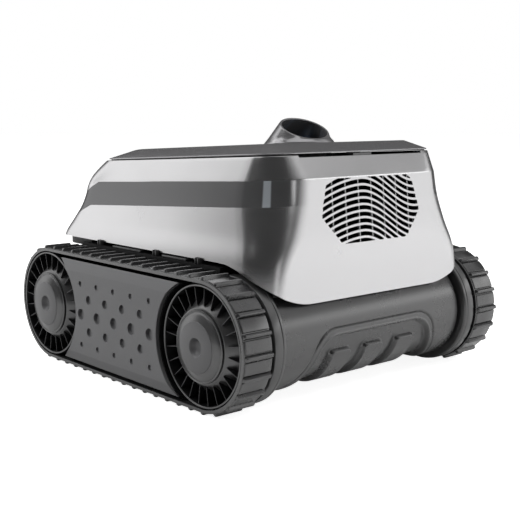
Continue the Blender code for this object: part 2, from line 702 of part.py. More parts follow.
def make_side_covers():
    """A plate with bevelled long edges, hollowed round both wheels."""
    for side in (-1, 1):
        back = COVER_BACK_X * side
        edge = COVER_EDGE_X * side
        face = COVER_FACE_X * side
        outline = [(back, COVER_LOW[0]), (edge, COVER_LOW[0]), (face, COVER_LOW[1]),
                   (face, COVER_HIGH[0]), (edge, COVER_HIGH[1]), (back, COVER_HIGH[1])]
        cover = prism(f"side_cover_{side_name(side)}", outline, (-COVER_HALF, COVER_HALF),
                      "cover_grain", "Y")
        for end in (-1, 1):
            cut = rod(f"cover_cut_{side_name(side)}_{end}", COVER_CUT_RADIUS,
                      (COVER_CUT_X[0] * side, COVER_CUT_X[1] * side), None,
                      centre=(0, end * AXLE_Y, AXLE_Z), sides=64)
            boolean(cover, cut)


def belt_point(distance, radius):
    """A point on the belt's loop, from the distance along its neutral line, which starts above
    the rear axle and runs forward, and the radius that the point would have on a wheel."""
    neutral = LUGS * PITCH
    half_turn = (neutral - 2 * WHEELBASE) / 2
    distance %= neutral
    if distance < WHEELBASE:
        return (distance - AXLE_Y, AXLE_Z + radius)
    distance -= WHEELBASE
    if distance < half_turn:
        a = math.pi / 2 - math.pi * distance / half_turn
        return (AXLE_Y + radius * math.cos(a), AXLE_Z + radius * math.sin(a))
    distance -= half_turn
    if distance < WHEELBASE:
        return (AXLE_Y - distance, AXLE_Z - radius)
    distance -= WHEELBASE
    a = -math.pi / 2 - math.pi * distance / half_turn
    return (-AXLE_Y + radius * math.cos(a), AXLE_Z + radius * math.sin(a))


def make_belts():
    outer = []
    for lug in range(LUGS):
        middle = (lug + LUG_PHASE) * PITCH
        outer.append(belt_point(middle - LUG_FOOT, BELT_RADIUS))
        outer.append(belt_point(middle - LUG_CREST, LUG_RADIUS))
        outer.append(belt_point(middle + LUG_CREST, LUG_RADIUS))
        outer.append(belt_point(middle + LUG_FOOT, BELT_RADIUS))
    inner = arc((AXLE_Y, AXLE_Z), BELT_BORE, 90, -90, 14)
    inner += arc((-AXLE_Y, AXLE_Z), BELT_BORE, -90, -270, 14)
    for side in (-1, 1):
        name = side_name(side)
        belt = prism(f"track_belt_{name}", outer, (BELT_INNER_X * side, BELT_OUTER_X * side),
                     "track_rubber")
        inside = (BELT_CUT_X[0] * side, BELT_CUT_X[1] * side)
        boolean(belt, prism(f"belt_inside_{name}", inner, inside, None))


def make_wheel(end, side, y):
    """A wheel, its axle and its hub cap, which turn together about the axle."""
    where = {"location": (0, y, AXLE_Z), "rotation": outward(side)}
    tag = f"{end}_{side_name(side)}"
    bore = AXLE_RADIUS + GAP
    turned(f"track_wheel_{tag}", [
        (WHEEL_RADIUS, WHEEL_OUTER_X), (WHEEL_RADIUS, WHEEL_INNER_X), (RIM_BORE, WHEEL_INNER_X),
        (RIM_BORE, WEB_INNER_X), (bore, WEB_INNER_X), (bore, BOSS_FACE_X),
        (BOSS_RADIUS, BOSS_FACE_X), WEB_KNEE, (RIM_BORE, WEB_RIM_X),
        (RIM_BORE, WHEEL_OUTER_X)], "black_plastic", **where)
    turned(f"hub_cap_{tag}", HUB_CAP_PROFILE, "dark_satin", closed=False, steps=24, **where)
    bm = bmesh.new()
    inner_end = AXLE_INNER_X[end]
    bmesh.ops.create_cone(bm, cap_ends=True, segments=20, radius1=AXLE_RADIUS, radius2=AXLE_RADIUS,
                          depth=AXLE_OUTER_X - inner_end,
                          matrix=Matrix.Translation((0, 0, (inner_end + AXLE_OUTER_X) / 2)))
    solid(f"axle_{tag}", bm, "steel", **where)


def make_wheels_and_bearings():
    for side in (-1, 1):
        for end, y in (("rear", -AXLE_Y), ("front", AXLE_Y)):
            make_wheel(end, side, y)
            turned(f"wheel_bearing_{end}_{side_name(side)}",
                   [(BEARING_RADIUS, BEARING_X[1]), (BEARING_RADIUS, BEARING_X[0]),
                    (BEARING_BORE, BEARING_X[0]), (BEARING_BORE, BEARING_X[1])],
                   "steel", steps=24, location=(0, y, AXLE_Z), rotation=outward(side))


def make_drive_motors():
    for side in (-1, 1):
        motor = rod(f"drive_motor_{side_name(side)}", MOTOR_RADIUS,
                    (MOTOR_X[0] * side, MOTOR_X[1] * side), "black_plastic",
                    centre=(0, -AXLE_Y, AXLE_Z), sides=28)
        near, far = sorted(x * side for x in MOTOR_FOOT_X)
        low = (near, -AXLE_Y - MOTOR_FOOT_HALF, AXLE_Z - MOTOR_FOOT_DROP[0])
        high = (far, -AXLE_Y + MOTOR_FOOT_HALF, AXLE_Z - MOTOR_FOOT_DROP[1])
        foot = boxes(f"motor_foot_{side_name(side)}", [(low, high)], None)
        boolean(motor, foot, "UNION")


def make_brush():
    """Roller brush: a core with trunnions, a finned rubber sleeve on it, and two bushes."""
    turned("brush_core", BRUSH_CORE, "black_plastic", closed=False, steps=24,
           location=(0, AXLE_Y, AXLE_Z), rotation=outward(1))
    star = []
    for i in range(BRUSH_FINS):
        middle = 360 * i / BRUSH_FINS
        for degrees, radius in BRUSH_FIN:
            a = math.radians(middle + degrees)
            star.append((AXLE_Y + radius * math.cos(a), AXLE_Z + radius * math.sin(a)))
    sleeve = prism("brush_sleeve", star, (-SLEEVE_HALF, SLEEVE_HALF), "blue_rubber")
    boolean(sleeve, rod("sleeve_bore", SLEEVE_BORE, (-SLEEVE_CUT_HALF, SLEEVE_CUT_HALF), None,
                        centre=(0, AXLE_Y, AXLE_Z)))
    hang("brush", (0, AXLE_Y, AXLE_Z), sleeve)
    for side in (-1, 1):
        turned(f"brush_bush_{side_name(side)}", BUSH_PROFILE, "steel", steps=24,
               location=(0, AXLE_Y, AXLE_Z), rotation=outward(side))


# ---------------------------------------------------------------- pump, filter and electrics

def make_pump():
    centre = (0, PUMP_Y, 0)
    rod("pump_motor", PUMP_RADIUS, PUMP_MOTOR_Z, "black_plastic", "Z", centre=centre, sides=28)
    shaft = rod("pump_shaft", SHAFT_RADIUS, SHAFT_Z, "steel", "Z", centre=centre, sides=16)
    outline = []
    for i in range(IMPELLER_BLADES):
        middle = 360 * i / IMPELLER_BLADES
        for degrees, radius in IMPELLER_BLADE:
            a = math.radians(middle + degrees)
            outline.append((radius * math.cos(a), PUMP_Y + radius * math.sin(a)))
    impeller = prism("impeller", outline, IMPELLER_Z, "blue_rubber", "Z")
    bore = rod("impeller_bore", IMPELLER_BORE, IMPELLER_BORE_Z, None, "Z", centre=centre, sides=16)
    boolean(impeller, bore)
    hang("pump", centre, shaft, impeller)
    turned("outlet_duct", [
        (DUCT_RADIUS, DUCT_Z[1]), (DUCT_RADIUS, DUCT_Z[0]), (DUCT_BORE, DUCT_Z[0]),
        (DUCT_BORE, DUCT_Z[1])],
        "black_plastic", steps=28, location=centre)
    turned("duct_seal", [
        (DUCT_RADIUS, SEAL_Z[1]), (DUCT_RADIUS, SEAL_Z[0]), (SEAL_BORE, SEAL_Z[0]),
        (SEAL_BORE, SEAL_Z[1])],
        "blue_rubber", steps=28, location=centre)


def make_intake():
    duct = boxes("intake_duct", [INTAKE_DUCT], "black_plastic")
    boolean(duct, boxes("duct_inside", [INTAKE_INSIDE], None))
    for end, (hinge_y, tip_y) in FLAP_Y.items():
        low = (-FLAP_HALF, min(hinge_y, tip_y), FLAP_Z - FLAP_HALF_THICK)
        high = (FLAP_HALF, max(hinge_y, tip_y), FLAP_Z + FLAP_HALF_THICK)
        flap = boxes(f"intake_flap_{end}", [(low, high)], "blue_rubber")
        hang(f"intake_flap_{end}", (0, hinge_y, FLAP_Z), flap)


def make_filter_basket():
    basket = boxes("filter_basket", [BASKET], "filter_fabric")
    boolean(basket, boxes("basket_inside", [BASKET_INSIDE], None))
    boolean(basket, boxes("basket_inlet", [BASKET_INLET], None))


def make_electrics():
    boxes("battery_pack", [BATTERY], "black_plastic")
    boxes("control_box", [CONTROL_BOX], "black_plastic")
    boxes("float_foam", [FOAM], "foam")


def control_frame(name, y):
    """An empty on the hood's right side, with its local +X straight out of the side."""
    frame = bpy.data.objects.new(name + "_frame", None)
    frame.location = (CONTROL_X, y, CONTROL_Z)
    frame.rotation_euler = (0, -CONTROL_TILT, 0)
    CUTTERS.objects.link(frame)
    return frame


def make_controls():
    rod("power_button", BUTTON_RADIUS, BUTTON_X, "dark_satin", sides=20,
        parent=control_frame("power_button", BUTTON_Y))
    frame = control_frame("charge_socket", SOCKET_Y)
    socket = rod("charge_socket", SOCKET_RADIUS, SOCKET_X, "black_plastic", sides=20,
                 parent=frame)
    boolean(socket, rod("socket_bore", SOCKET_BORE, SOCKET_BORE_X, None, sides=16, parent=frame))
    hinge = bpy.data.objects.new("charge_cap_hinge", None)
    hinge.location = (CAP_OUTER, 0, CAP_TOP)
    hinge.parent = frame
    CUTTERS.objects.link(hinge)
    boxes("charge_cap", [((CAP_INNER - CAP_OUTER, -CAP_HALF, -CAP_HALF - CAP_TOP),
                        (0, CAP_HALF, 0))],
          "dark_satin", parent=hinge)


def make_casing_screws():
    for side in (-1, 1):
        for end, y in SCREW_Y.items():
            bm = bmesh.new()
            bmesh.ops.create_cone(bm, cap_ends=True, segments=12, radius1=SCREW_RADII[0],
                                  radius2=SCREW_RADII[1], depth=SCREW_HEIGHT)
            solid(f"casing_screw_{end}_{side_name(side)}", bm, "steel",
                  location=(SCREW_X * side, y, CASING_FLOOR - GAP - SCREW_HEIGHT / 2))


# ---------------------------------------------------------------- vent grille

def grille_plane():
    plane = bpy.data.objects.new("grille_plane", None)
    plane.location = (0, GRILLE_Y, GRILLE_Z)
    plane.rotation_euler = (-GRILLE_TILT, 0, 0)
    CUTTERS.objects.link(plane)
    return plane


def grille_outline(inset):
    """The grille's outline, drawn in from its edge by an inset."""
    return [(x * (1 - inset / GRILLE_HALF_X), z * (1 - inset / GRILLE_HALF_Z))
            for x, z in GRILLE_OUTLINE]


def wave(x):
    """Height of the crested slat at x: a long fall to the right, a short one to the left."""
    crest_x, crest_z = WAVE_CREST
    if x > crest_x:
        turn = math.pi * (x - crest_x) / WAVE_LENGTH_RIGHT
        return crest_z - WAVE_FALL_RIGHT * (1 - math.cos(turn)) / 2
    return crest_z - WAVE_FALL_LEFT * ((crest_x - x) / WAVE_LENGTH_LEFT) ** WAVE_POWER_LEFT


def make_vent_grille():
    """An outline plate with wavy slots, crossed by thin upright bars."""
    plane = grille_plane()
    grille = prism("vent_grille", grille_outline(GAP), PLATE_Y, "silver_paint", "Y",
                   parent=plane)
    slots = bmesh.new()
    xs = [-SLOT_HALF + 2 * SLOT_HALF * i / SLOT_STEPS for i in range(SLOT_STEPS + 1)]
    slot_height = SLAT_PITCH - SLAT_HEIGHT
    for row in SLOT_ROWS:
        base = row * SLAT_PITCH + SLAT_HEIGHT / 2
        outline = [(x, base + wave(x)) for x in xs]
        outline += [(x, base + slot_height + wave(x)) for x in reversed(xs)]
        face = slots.faces.new([slots.verts.new((x, SLOT_CUT_Y[0], z)) for x, z in outline])
        grown = bmesh.ops.extrude_face_region(slots, geom=[face])["geom"]
        moved = [v for v in grown if isinstance(v, bmesh.types.BMVert)]
        bmesh.ops.translate(slots, vec=(0, SLOT_CUT_Y[1] - SLOT_CUT_Y[0], 0), verts=moved)
    cutter = solid("grille_slots", slots, None, parent=plane)
    field = prism("grille_field", grille_outline(SLOT_FRAME), FIELD_Y, None, "Y",
                  parent=plane)
    boolean(cutter, field, "INTERSECT")
    boolean(grille, cutter)
    bars = boxes("grille_bars", [
        ((i * BAR_PITCH - BAR_HALF, BAR_Y[0], -BAR_HALF_HEIGHT),
         (i * BAR_PITCH + BAR_HALF, BAR_Y[1], BAR_HALF_HEIGHT))
        for i in range(-(BARS // 2), BARS // 2 + 1)], None, parent=plane)
    bar_field = prism("bar_field", grille_outline(2 * GAP), FIELD_Y, None, "Y", parent=plane)
    boolean(bars, bar_field, "INTERSECT")
    boolean(grille, bars, "UNION")


make_hood()
make_vent_grille()
make_lid_assembly()
make_lid_hinge_pin()
make_lid_latch()
make_lower_casing()
make_rear_tube()
make_end_rings()
make_track_frames()
make_side_covers()
make_belts()
make_wheels_and_bearings()
make_drive_motors()
make_brush()
make_pump()
make_intake()
make_filter_basket()
make_electrics()
make_controls()
make_casing_screws()
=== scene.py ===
"""Looks of the tracked pool cleaner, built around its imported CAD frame.

Metres, +Z up. +Y is the direction of travel, -Y the grille end, +X the right-hand side.
"""
import json
import math

import bmesh
import bpy
from mathutils import Matrix, Vector


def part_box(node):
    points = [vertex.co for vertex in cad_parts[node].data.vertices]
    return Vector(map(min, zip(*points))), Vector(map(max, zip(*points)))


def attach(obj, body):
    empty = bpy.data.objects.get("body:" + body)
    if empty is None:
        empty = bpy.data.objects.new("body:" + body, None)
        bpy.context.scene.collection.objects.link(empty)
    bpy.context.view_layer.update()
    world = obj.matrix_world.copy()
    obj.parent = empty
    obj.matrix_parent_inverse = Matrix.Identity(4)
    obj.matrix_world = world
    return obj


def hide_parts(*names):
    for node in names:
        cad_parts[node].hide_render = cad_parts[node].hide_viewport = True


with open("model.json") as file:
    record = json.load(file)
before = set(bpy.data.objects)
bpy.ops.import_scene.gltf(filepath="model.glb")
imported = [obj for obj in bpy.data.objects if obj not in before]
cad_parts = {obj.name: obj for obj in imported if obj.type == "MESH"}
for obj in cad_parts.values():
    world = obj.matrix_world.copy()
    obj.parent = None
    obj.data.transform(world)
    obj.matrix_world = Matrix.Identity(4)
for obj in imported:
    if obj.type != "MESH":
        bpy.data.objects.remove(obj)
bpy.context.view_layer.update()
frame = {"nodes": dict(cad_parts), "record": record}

MM = 0.001

# Places read from the frame
WHEEL_LOW, WHEEL_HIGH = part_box("track_wheel_rear_left")
AXLE_Z = (WHEEL_LOW.z + WHEEL_HIGH.z) / 2
AXLE_Y = -(WHEEL_LOW.y + WHEEL_HIGH.y) / 2
WHEELBASE = 2 * AXLE_Y
WHEEL_RADIUS = (WHEEL_HIGH.z - WHEEL_LOW.z) / 2
WHEEL_OUTER_X = -WHEEL_LOW.x
WHEEL_INNER_X = -WHEEL_HIGH.x
HUB_CAP_FACE_X = -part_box("hub_cap_rear_left")[0].x
BELT_LOW, BELT_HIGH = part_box("track_belt_right")
TUBE_LOW, TUBE_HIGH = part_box("rear_tube")
TUBE_RADIUS = (TUBE_HIGH.z - TUBE_LOW.z) / 2
TUBE_HALF = TUBE_HIGH.x
COVER_LOW, COVER_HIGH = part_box("side_cover_right")
RING_LOW, RING_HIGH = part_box("end_ring_rear_right")

# Hood levels: height at y = 0, rise per metre of y, half width, rear, front, rear and front radii
BASE = (0.1000, 0.0, 0.1475, 0.1880, 0.1880, 0.026, 0.026)
SILL = (0.1380, 0.0, 0.1450, 0.1865, 0.1850, 0.032, 0.026)
WAIST = (0.1620, -0.020, 0.1365, 0.1848, 0.1775, 0.040, 0.028)
STRIPE = (0.1825, -0.060, 0.1310, 0.1820, 0.1700, 0.046, 0.028)
CREASE = (0.2085, -0.052, 0.1265, 0.1800, 0.1600, 0.045, 0.030)
RIM = (0.2312, -0.051, 0.1190, 0.1685, 0.1350, 0.030, 0.030)
FLANGE = (0.2306, -0.051, 0.1090, 0.1585, 0.1230, 0.022, 0.022)
HOOD_WALL = 0.003
HOOD_EDGE_SIDE = 0.138
HOOD_EDGE_REAR = 0.101
EDGE_FALL_START = 0.196
EDGE_FALL_END = 0.080
STRIPE_DIP = 0.018  # how far the dark band sinks round the front corners
STRIPE_DIP_LEAD = 0.014  # it starts to sink this far before the corner
STRIPE_DIP_LENGTH = 0.040
SHOULDER_BULGE = 0.0050  # fullness of the front shoulder between the crease and the rim
SHOULDER_LEAN = (0.55, 0.83, 0.35)
SHOULDER_MIDDLE = 0.08  # nearer to the middle than this, the sideways lean fades out
SHOULDER_START = 0.095
SHOULDER_LENGTH = 0.050
SHOULDER_STEPS = 6
OUTLINE_STEPS = (16, 18, 26, 10)  # rear half, corner, side and front half
LOWER_STEPS = 16
BAND_STEPS = 6
EDGE_CRISP = 0.0010  # radius of the upper edges at the rear, and what the front has more
EDGE_SOFTER = 0.0090
EDGE_SOFT_Y = 0.150
RIM_ROUND = 0.0010
PAINTED_SHADE_ROWS = 4  # the last rows of the hood's skin, at its rim and flange, black as painted shade of the gap under the lid
NOTCH = ((-0.088, -0.180, 0.2374), (0.088, -0.130, 0.250))
NOTCH_ROUND = 0.0012
HOLE_X = 0.1347
HOLE_Z = 0.169
HOLE_LEAN = math.radians(90 - 14.5)
HOLE_DEPTH = 0.040
HOLES = ((0.060, 0.0083), (-0.020, 0.0093))  # y and radius: power button and charging socket

# Chassis band under the hood's front edge, and the small ribs and ledges above the belts
SKIRT_LOW = 0.1295
SKIRT_HIGH = 0.1402
SKIRT_START = 0.110
SKIRT_OUTER = (SKIRT_LOW, 0.0, 0.1405, 0.1800, 0.1805, 0.029, 0.030)
SKIRT_INNER = (SKIRT_LOW, 0.0, 0.1260, 0.1700, 0.1695, 0.016, 0.017)
TAB_PLACES = (-0.0900, -0.0190, 0.0870)
TAB_OFFSET = 0.0022
TAB_HALF = 0.0007
TAB_X = (0.1425, 0.1490)
TAB_Z = (0.1338, 0.1400)
LEDGE_SPANS = ((-0.070, -0.030), (0.010, 0.062))
LEDGE_X = (0.1300, 0.1470)
LEDGE_Z = (0.1343, 0.1362)
TAB_ROUND = 0.0003

# Grille slots in the hood's rear face
GRILLE_Y = -0.1828
GRILLE_Z = 0.1860
GRILLE_TILT = math.radians(4.8)
SLAT_PITCH = 0.00644
SLAT_HEIGHT = 0.0023
WAVE_CREST = (-0.014, 0.0045)
WAVE_FALL_RIGHT = 0.0315
WAVE_LENGTH_RIGHT = 0.080
WAVE_FALL_LEFT = 0.0108
WAVE_LENGTH_LEFT = 0.052
WAVE_POWER_LEFT = 1.8
SLOT_TOP = [(-0.071, -0.005), (-0.063, 0.025), (-0.048, 0.031), (0.053, 0.031), (0.061, 0.026),
            (0.071, -0.005)]
SLOT_BOTTOM = [(-0.071, -0.005), (-0.045, -0.0315), (-0.040, -0.0325), (0.046, -0.0325),
               (0.051, -0.031), (0.071, -0.005)]
SLOT_STEP = 0.0012
SLOT_ROWS = range(-7, 11)
SLOT_LEAST = 0.0006  # a slot lower than this is left closed
SLOT_DEPTH = 0.012
BAR_PITCH = 0.0182
BAR_SHIFT = 0.0006
BAR_HALF = 0.00055
BAR_NOSE = 0.4  # width of the bar's front edge, as a share
BAR_OVERRUN = 0.001
BAR_DEPTHS = (-0.0040, -0.0016, -0.0012)  # back, shoulder and front, out of the hood's face
BARS = 7

# Lid, nozzle and hinge
LID_EDGE = (RIM[0] + 0.0012, RIM[1], 0.1180, 0.1675, 0.1315, 0.029, 0.030)
LID_LIP = (RIM[0] + 0.0022, RIM[1], 0.1180, 0.1675, 0.1315, 0.029, 0.030)
LID_TOP = (RIM[0] + 0.0115, RIM[1], 0.1035, 0.1400, 0.0980, 0.014, 0.034)
LID_WALL = 0.0022
LID_INNER_EDGE = (RIM[0] + 0.0012, RIM[1], 0.1145, 0.1640, 0.1280, 0.026, 0.027)
LID_INNER_TOP = (LID_TOP[0] - LID_WALL, RIM[1], 0.1010, 0.1375, 0.0940, 0.012, 0.032)
LID_LIP_ROUND = 0.0006
SEAL_OUTLINE = (RIM[0], RIM[1], 0.1160, 0.1655, 0.1295, 0.027, 0.028)
SEAL_LOW = 0.00015  # the seal's lower and upper faces, above the hood's rim plane
SEAL_HIGH = 0.00125
SEAL_WIDTH = 0.0009
SEAL_NEAR_X = 0.0925
SEAL_FRONT_Y = 0.1150
SEAL_CORNER_Y = -0.1
SEAL_MIDDLE = Vector((0, -0.02, 0))
HINGE_Y = 0.1295
HINGE_Z = 0.2232
GROOVE_BORE = 0.0043
GROOVE_LENGTH = 0.200
GROOVE_TILT = 0.07
RELIEF = ((-0.1026, HINGE_Y - 0.0010, HINGE_Z - 0.0010), (0.1026, HINGE_Y + 0.0080, HINGE_Z + 0.0040))
RELIEF_ROUND = 0.0003
KNUCKLE_X = 0.068
KNUCKLE_HALF = 0.007
KNUCKLE_LOW = (HINGE_Y - 0.0022, HINGE_Z - 0.0018)
KNUCKLE_HIGH = (HINGE_Y + 0.0016, HINGE_Z + 0.0041)
KNUCKLE_ROUND = 0.0006
PUMP_Y = -0.078
NOZZLE_OPENING = 0.034
FOOT_HALF_X = 0.0385
FOOT_HALF_Y = 0.0360
FOOT_Y = -0.0765
MOUTH_HALF_X = 0.0306
MOUTH_HALF_Y = 0.0226
MOUTH_Y = -0.0849
MOUTH_Z = 0.2626
MOUTH_TILT = math.radians(29.5)
NOZZLE_SIDES = 72
NOZZLE_GAP = 0.0006
NOZZLE_DROP = -0.004  # its lower end, under the lid's top
FOOT_RISE = 0.0003
FOOT_ROWS = ((0.0, 0.0, FOOT_RISE), (0.0004, 0.0004, 0.0014), (0.0030, 0.0040, 0.0048))
FOOT_INNER = (0.0060, 0.0070, 0.0040)
NOZZLE_ROUNDS = {3: 0.0003, 4: 0.0008, 5: 0.0040, 6: 0.0008, 7: 0.0008, 8: 0.002}

# Belt, along its neutral line and by radius from the wheel's axis
LUGS = 49
PITCH = WHEELBASE / 14.5
LUG_PHASE = 0.97
BELT_BORE = 0.0593
LUG_RADIUS = 0.06578
GROOVE_RADIUS = 0.0615
PAD_RADIUS = 0.0630
EDGE_RIM_RADIUS = 0.0626
BELT_SHARP = 32.0
# Along one pitch: a rib, then a pad between two grooves, as (distance, share of full height)
RIB = [(-0.0027, 0.0), (-0.0024, 0.12), (-0.0020, 0.60), (-0.0015, 0.92), (-0.0008, 1.0),
       (0.0008, 1.0), (0.0015, 0.92), (0.0020, 0.60), (0.0024, 0.12), (0.0027, 0.0)]
PAD = [(0.0033, 0.0), (0.0036, 0.75), (0.0041, 1.0), (PITCH / 2, 1.0), (PITCH - 0.0041, 1.0),
       (PITCH - 0.0036, 0.75), (PITCH - 0.0033, 0.0)]
# Across the belt: distance from its -X edge, with the shares of edge rim, pad and rib there
BELT_WIDTH = BELT_HIGH.x - BELT_LOW.x
BELT_COLUMNS = [
    (0.0, 0.80, 0.0, 0.0), (0.0005, 1.0, 0.0, 0.0), (0.0012, 1.0, 0.0, 0.0),
    (0.0016, 0.0, 0.30, 0.50), (0.0020, 0.0, 0.80, 0.82), (0.0026, 0.0, 1.0, 0.96),
    (0.0036, 0.0, 1.0, 1.0), (BELT_WIDTH / 2, 0.0, 1.0, 1.0), (BELT_WIDTH - 0.0016, 0.0, 1.0, 1.0),
    (BELT_WIDTH - 0.0006, 0.0, 0.80, 0.80), (BELT_WIDTH, 0.0, 0.30, 0.35)]

# Wheels and hub caps, as radii and distances from the middle of the cleaner
FINS = 24
FIN_PHASE = 0.35
FIN_HALF = 0.00028
FIN_TOP = WHEEL_OUTER_X - 0.0012
WEB_X = 0.1640
WEB_THICK = 0.002
WHEEL_SHAFT = 0.0063
WHEEL_CHAMFER = 0.0006
RIM_BORE = WHEEL_RADIUS - 0.0022
RIM_FOOT = RIM_BORE - 0.0008
RIM_MOUTH = RIM_BORE + 0.0005
PROFILE_ROUND = 0.0003
HUB_EDGE = [(0.0350, WHEEL_OUTER_X - 0.0003), (0.0362, WHEEL_OUTER_X - 0.0008)]
HUB_CONE = [(0.0465, 0.1708), (0.0478, 0.1690), (0.0478, WEB_X)]
CONE_RADII = (0.0340, 0.0420)
CONE_X = 0.1695
RIM_EDGE = (WHEEL_RADIUS - 0.0024, WHEEL_OUTER_X - 0.0007)
FIN_OUTLINE = [(0.0375, FIN_TOP - 0.0016), (0.0390, FIN_TOP - 0.0004), (0.0550, FIN_TOP),
               (RIM_BORE, FIN_TOP - 0.0004), (RIM_BORE, WEB_X), (0.0440, WEB_X), (0.0375, 0.1780)]
CAP_FACE = 0.0245
CAP_PROFILE = [  # radius, and depth under the cap's face
    (0.0, 0.0056), (0.0040, 0.0053), (0.0062, 0.0042), (0.0078, 0.0020), (0.0086, 0.0005),
    (0.0093, 0.0), (0.0238, 0.0), (0.0243, 0.0002), (0.0246, 0.0006), (0.0300, 0.0026),
    (0.0322, 0.0037), (0.0326, 0.0043), (0.0332, 0.0043), (0.0336, 0.0039), (0.0343, 0.0041),
    (0.0346, 0.0046)]
CAP_FOOT = WHEEL_OUTER_X + 0.0001

# End rings
RING_FACE_X = 0.1305  # the ring's inner face, beyond the groove by the tube, whose faces are black as painted shade
RING_RADIUS = (RING_HIGH.z - RING_LOW.z) / 2
RING_BORE = 0.0124
RING_PROFILE = [
    (RING_BORE, RING_HIGH.x), (0.0585, RING_HIGH.x), (RING_RADIUS - 0.0002, RING_HIGH.x - 0.0012),
    (RING_RADIUS, RING_HIGH.x - 0.0100), (RING_RADIUS - 0.0006, RING_HIGH.x - 0.0104),
    (RING_RADIUS - 0.0006, RING_HIGH.x - 0.0110), (RING_RADIUS, RING_HIGH.x - 0.0114),
    (RING_RADIUS - 0.0004, 0.1318), (RING_RADIUS - 0.0018, RING_FACE_X), (0.0497, RING_FACE_X),
    (0.0497, RING_LOW.x), (0.0485, RING_LOW.x), (0.0485, 0.141), (0.018, 0.141), (0.018, 0.134),
    (RING_BORE, 0.134)]
TURNED_ROUND = 0.0004

# Grip moulding on the rear tube: angles in degrees above the straight-back direction
TUBE_INSET = 0.0003
TUBE_WALL = 0.0016
TUBE_COLUMNS = 300
TUBE_SHARP = 50.0
FINE_ANGLE = 0.8
COARSE_ANGLE = 4.0
GRIP_MARGIN = 4
GRIP_TOP = 9.5
GRIP_BOTTOM = -108.0
GRIP_HALF = 0.0845  # half width at GRIP_START
GRIP_START = -4
GRIP_SPREAD = 0.00036  # gain in half width per degree downwards
GRIP_ROUND = 0.022
SEAM_DEPTH = 0.0015
SEAM_WIDTH = 0.0008
LIP_HEIGHT = 0.0007
LIP_WIDTH = 0.0009
LIP_OFFSET = 0.0004
RECESS_INSET = 0.0068
RECESS_WALL = 0.0034
RECESS_DEPTH = 0.0052
PAD_TOP = -15.0
PAD_HALF = 0.0150
PAD_CENTRES = (-0.0480, -0.0015, 0.0460)
PAD_WALL = 0.0022
PAD_ROUND = 0.006
PAD_SUNK = 0.0006  # how far a pad's top stays under the tube's surface

# Side covers, and their dimples as height, number along, diameter and depth
COVER_EDGE = 0.0005
COVER_BEVELS = (0.0100, 0.0113)  # lower and upper
COVER_ROUND = 0.0012
COVER_STATIONS = (-0.108, -0.05, 0.05, 0.108)
CUT_STEPS = 160
CUT_PROFILE = [(0.0, 0.170), (0.064, 0.170), (0.064, COVER_HIGH.x - 0.0006),
               (0.0652, COVER_HIGH.x + 0.001), (0.0652, 0.20), (0.0, 0.20)]
DIMPLE_PITCH = 0.032
DIMPLE_DEEPER = 1.15  # the dimples are deeper than in the plain CAD plate
DIMPLE_PROUD = 0.001
DIMPLE_FLOOR = 0.47  # radii by the diameter in the table
DIMPLE_MOUTH = 0.52
DIMPLE_ROWS = [(0.0982, 5, 0.0060, 0.0016), (0.0825, 4, 0.0095, 0.0024),
               (0.0651, 5, 0.0120, 0.0029), (0.0476, 4, 0.0095, 0.0024),
               (0.0318, 5, 0.0060, 0.0016)]

# Roller brush and filter basket
BLADE_ROWS = 10
BLADES = 13
BRUSH_HALF = 0.117
BRUSH_BORE = 0.0306
SLEEVE = 0.0345
SLEEVE_CHAMFER = 0.001
BLADE_GAP = 0.0008
BLADE_PROFILE = ((0.0335, 0.0024, 0.0), (0.0360, 0.0014, 0.0), (0.0600, 0.0011, 0.0004),
                 (0.0624, 0.0009, 0.0012), (0.0630, 0.0005, 0.0024))  # radius, half, inset
POST = 0.0045
POST_ROUND = 0.0010
RAIL_RISE = 0.07
MESH_WALL = 0.0008
MESH_INSET = 0.0016
MESH_TOP_INSET = 0.003
MESH_ROUND = 0.0002
FLOOR_HOLE = ((-0.060, 0.001), (0.060, 0.039))

# Studio and camera
PANEL_DISTANCE = 2.6
FILL_DISTANCE = 3.2
FILL_SIZE = (2.0, 2.0)
TARGET_HEIGHT = 0.12
FLOOR_RADIUS = 14.0
FLOOR_DROP = -0.0002
PAPER = (0.86, 0.86, 0.86)
PAPER_DIM = (0.10, 0.10, 0.10)  # what diffuse rays see of the floor
PAPER_GLOW = 0.90
PAPER_MIRROR_GLOW = 0.04
WORLD_PLAIN = 0.035
WORLD_DIFFUSE = 0.08
WHITE = (1.0, 1.0, 1.0, 1.0)
LENS = 67.58
SENSOR_WIDTH = 36.0
CAMERA_AZIMUTH = -41.03
CAMERA_ELEVATION = 8.59
CAMERA_PLACE = (-0.7165, -0.8366, 0.2791)
CAMERA_CLIP = (0.01, 100.0)


# ---------------- materials

COAT_ROUGHNESS = 0.24
WEAR_AND_HIGHLIGHT_RANGE = (0.52, 0.62)  # pointedness of an edge, from untouched to fully lightened, as wear and painted highlight
CLOUD_RANGE = (0.3, 0.7)
PAINT = {"grain": 0.003, "grain_scale": 900.0, "spread": 0.015}
SATIN = {"patches": 0.03, "grain": 0.003, "grain_scale": 900.0, "spread": 0.02}
SILVER = (0.720, 0.716, 0.724)
BAND_GREY = (0.150, 0.150, 0.153)
BAND_METAL = 0.45
PAINTED_REFLECTION_COLOUR = (0.40, 0.43, 0.46)
# Angles round the hood's rear corners, in degrees from straight back: (nothing yet, in full)
SILVER_ANGLES = (26, 21)
# The pale streak between these angles is a painted reflection of a strip light in the glossy band
PAINTED_REFLECTION_START = (48.5, 50.5)
PAINTED_REFLECTION_END = (60.5, 58.5)


def node(tree, kind, **sockets):
    made = tree.nodes.new(kind)
    for name, value in sockets.items():
        made.inputs[name.replace("_", " ")].default_value = value
    return made


def map_range(tree, value, low, high, new_low, new_high):
    step = tree.nodes.new("ShaderNodeMapRange")
    step.inputs["From Min"].default_value = low
    step.inputs["From Max"].default_value = high
    step.inputs["To Min"].default_value = new_low
    step.inputs["To Max"].default_value = new_high
    tree.links.new(value, step.inputs["Value"])
    return step.outputs["Result"]


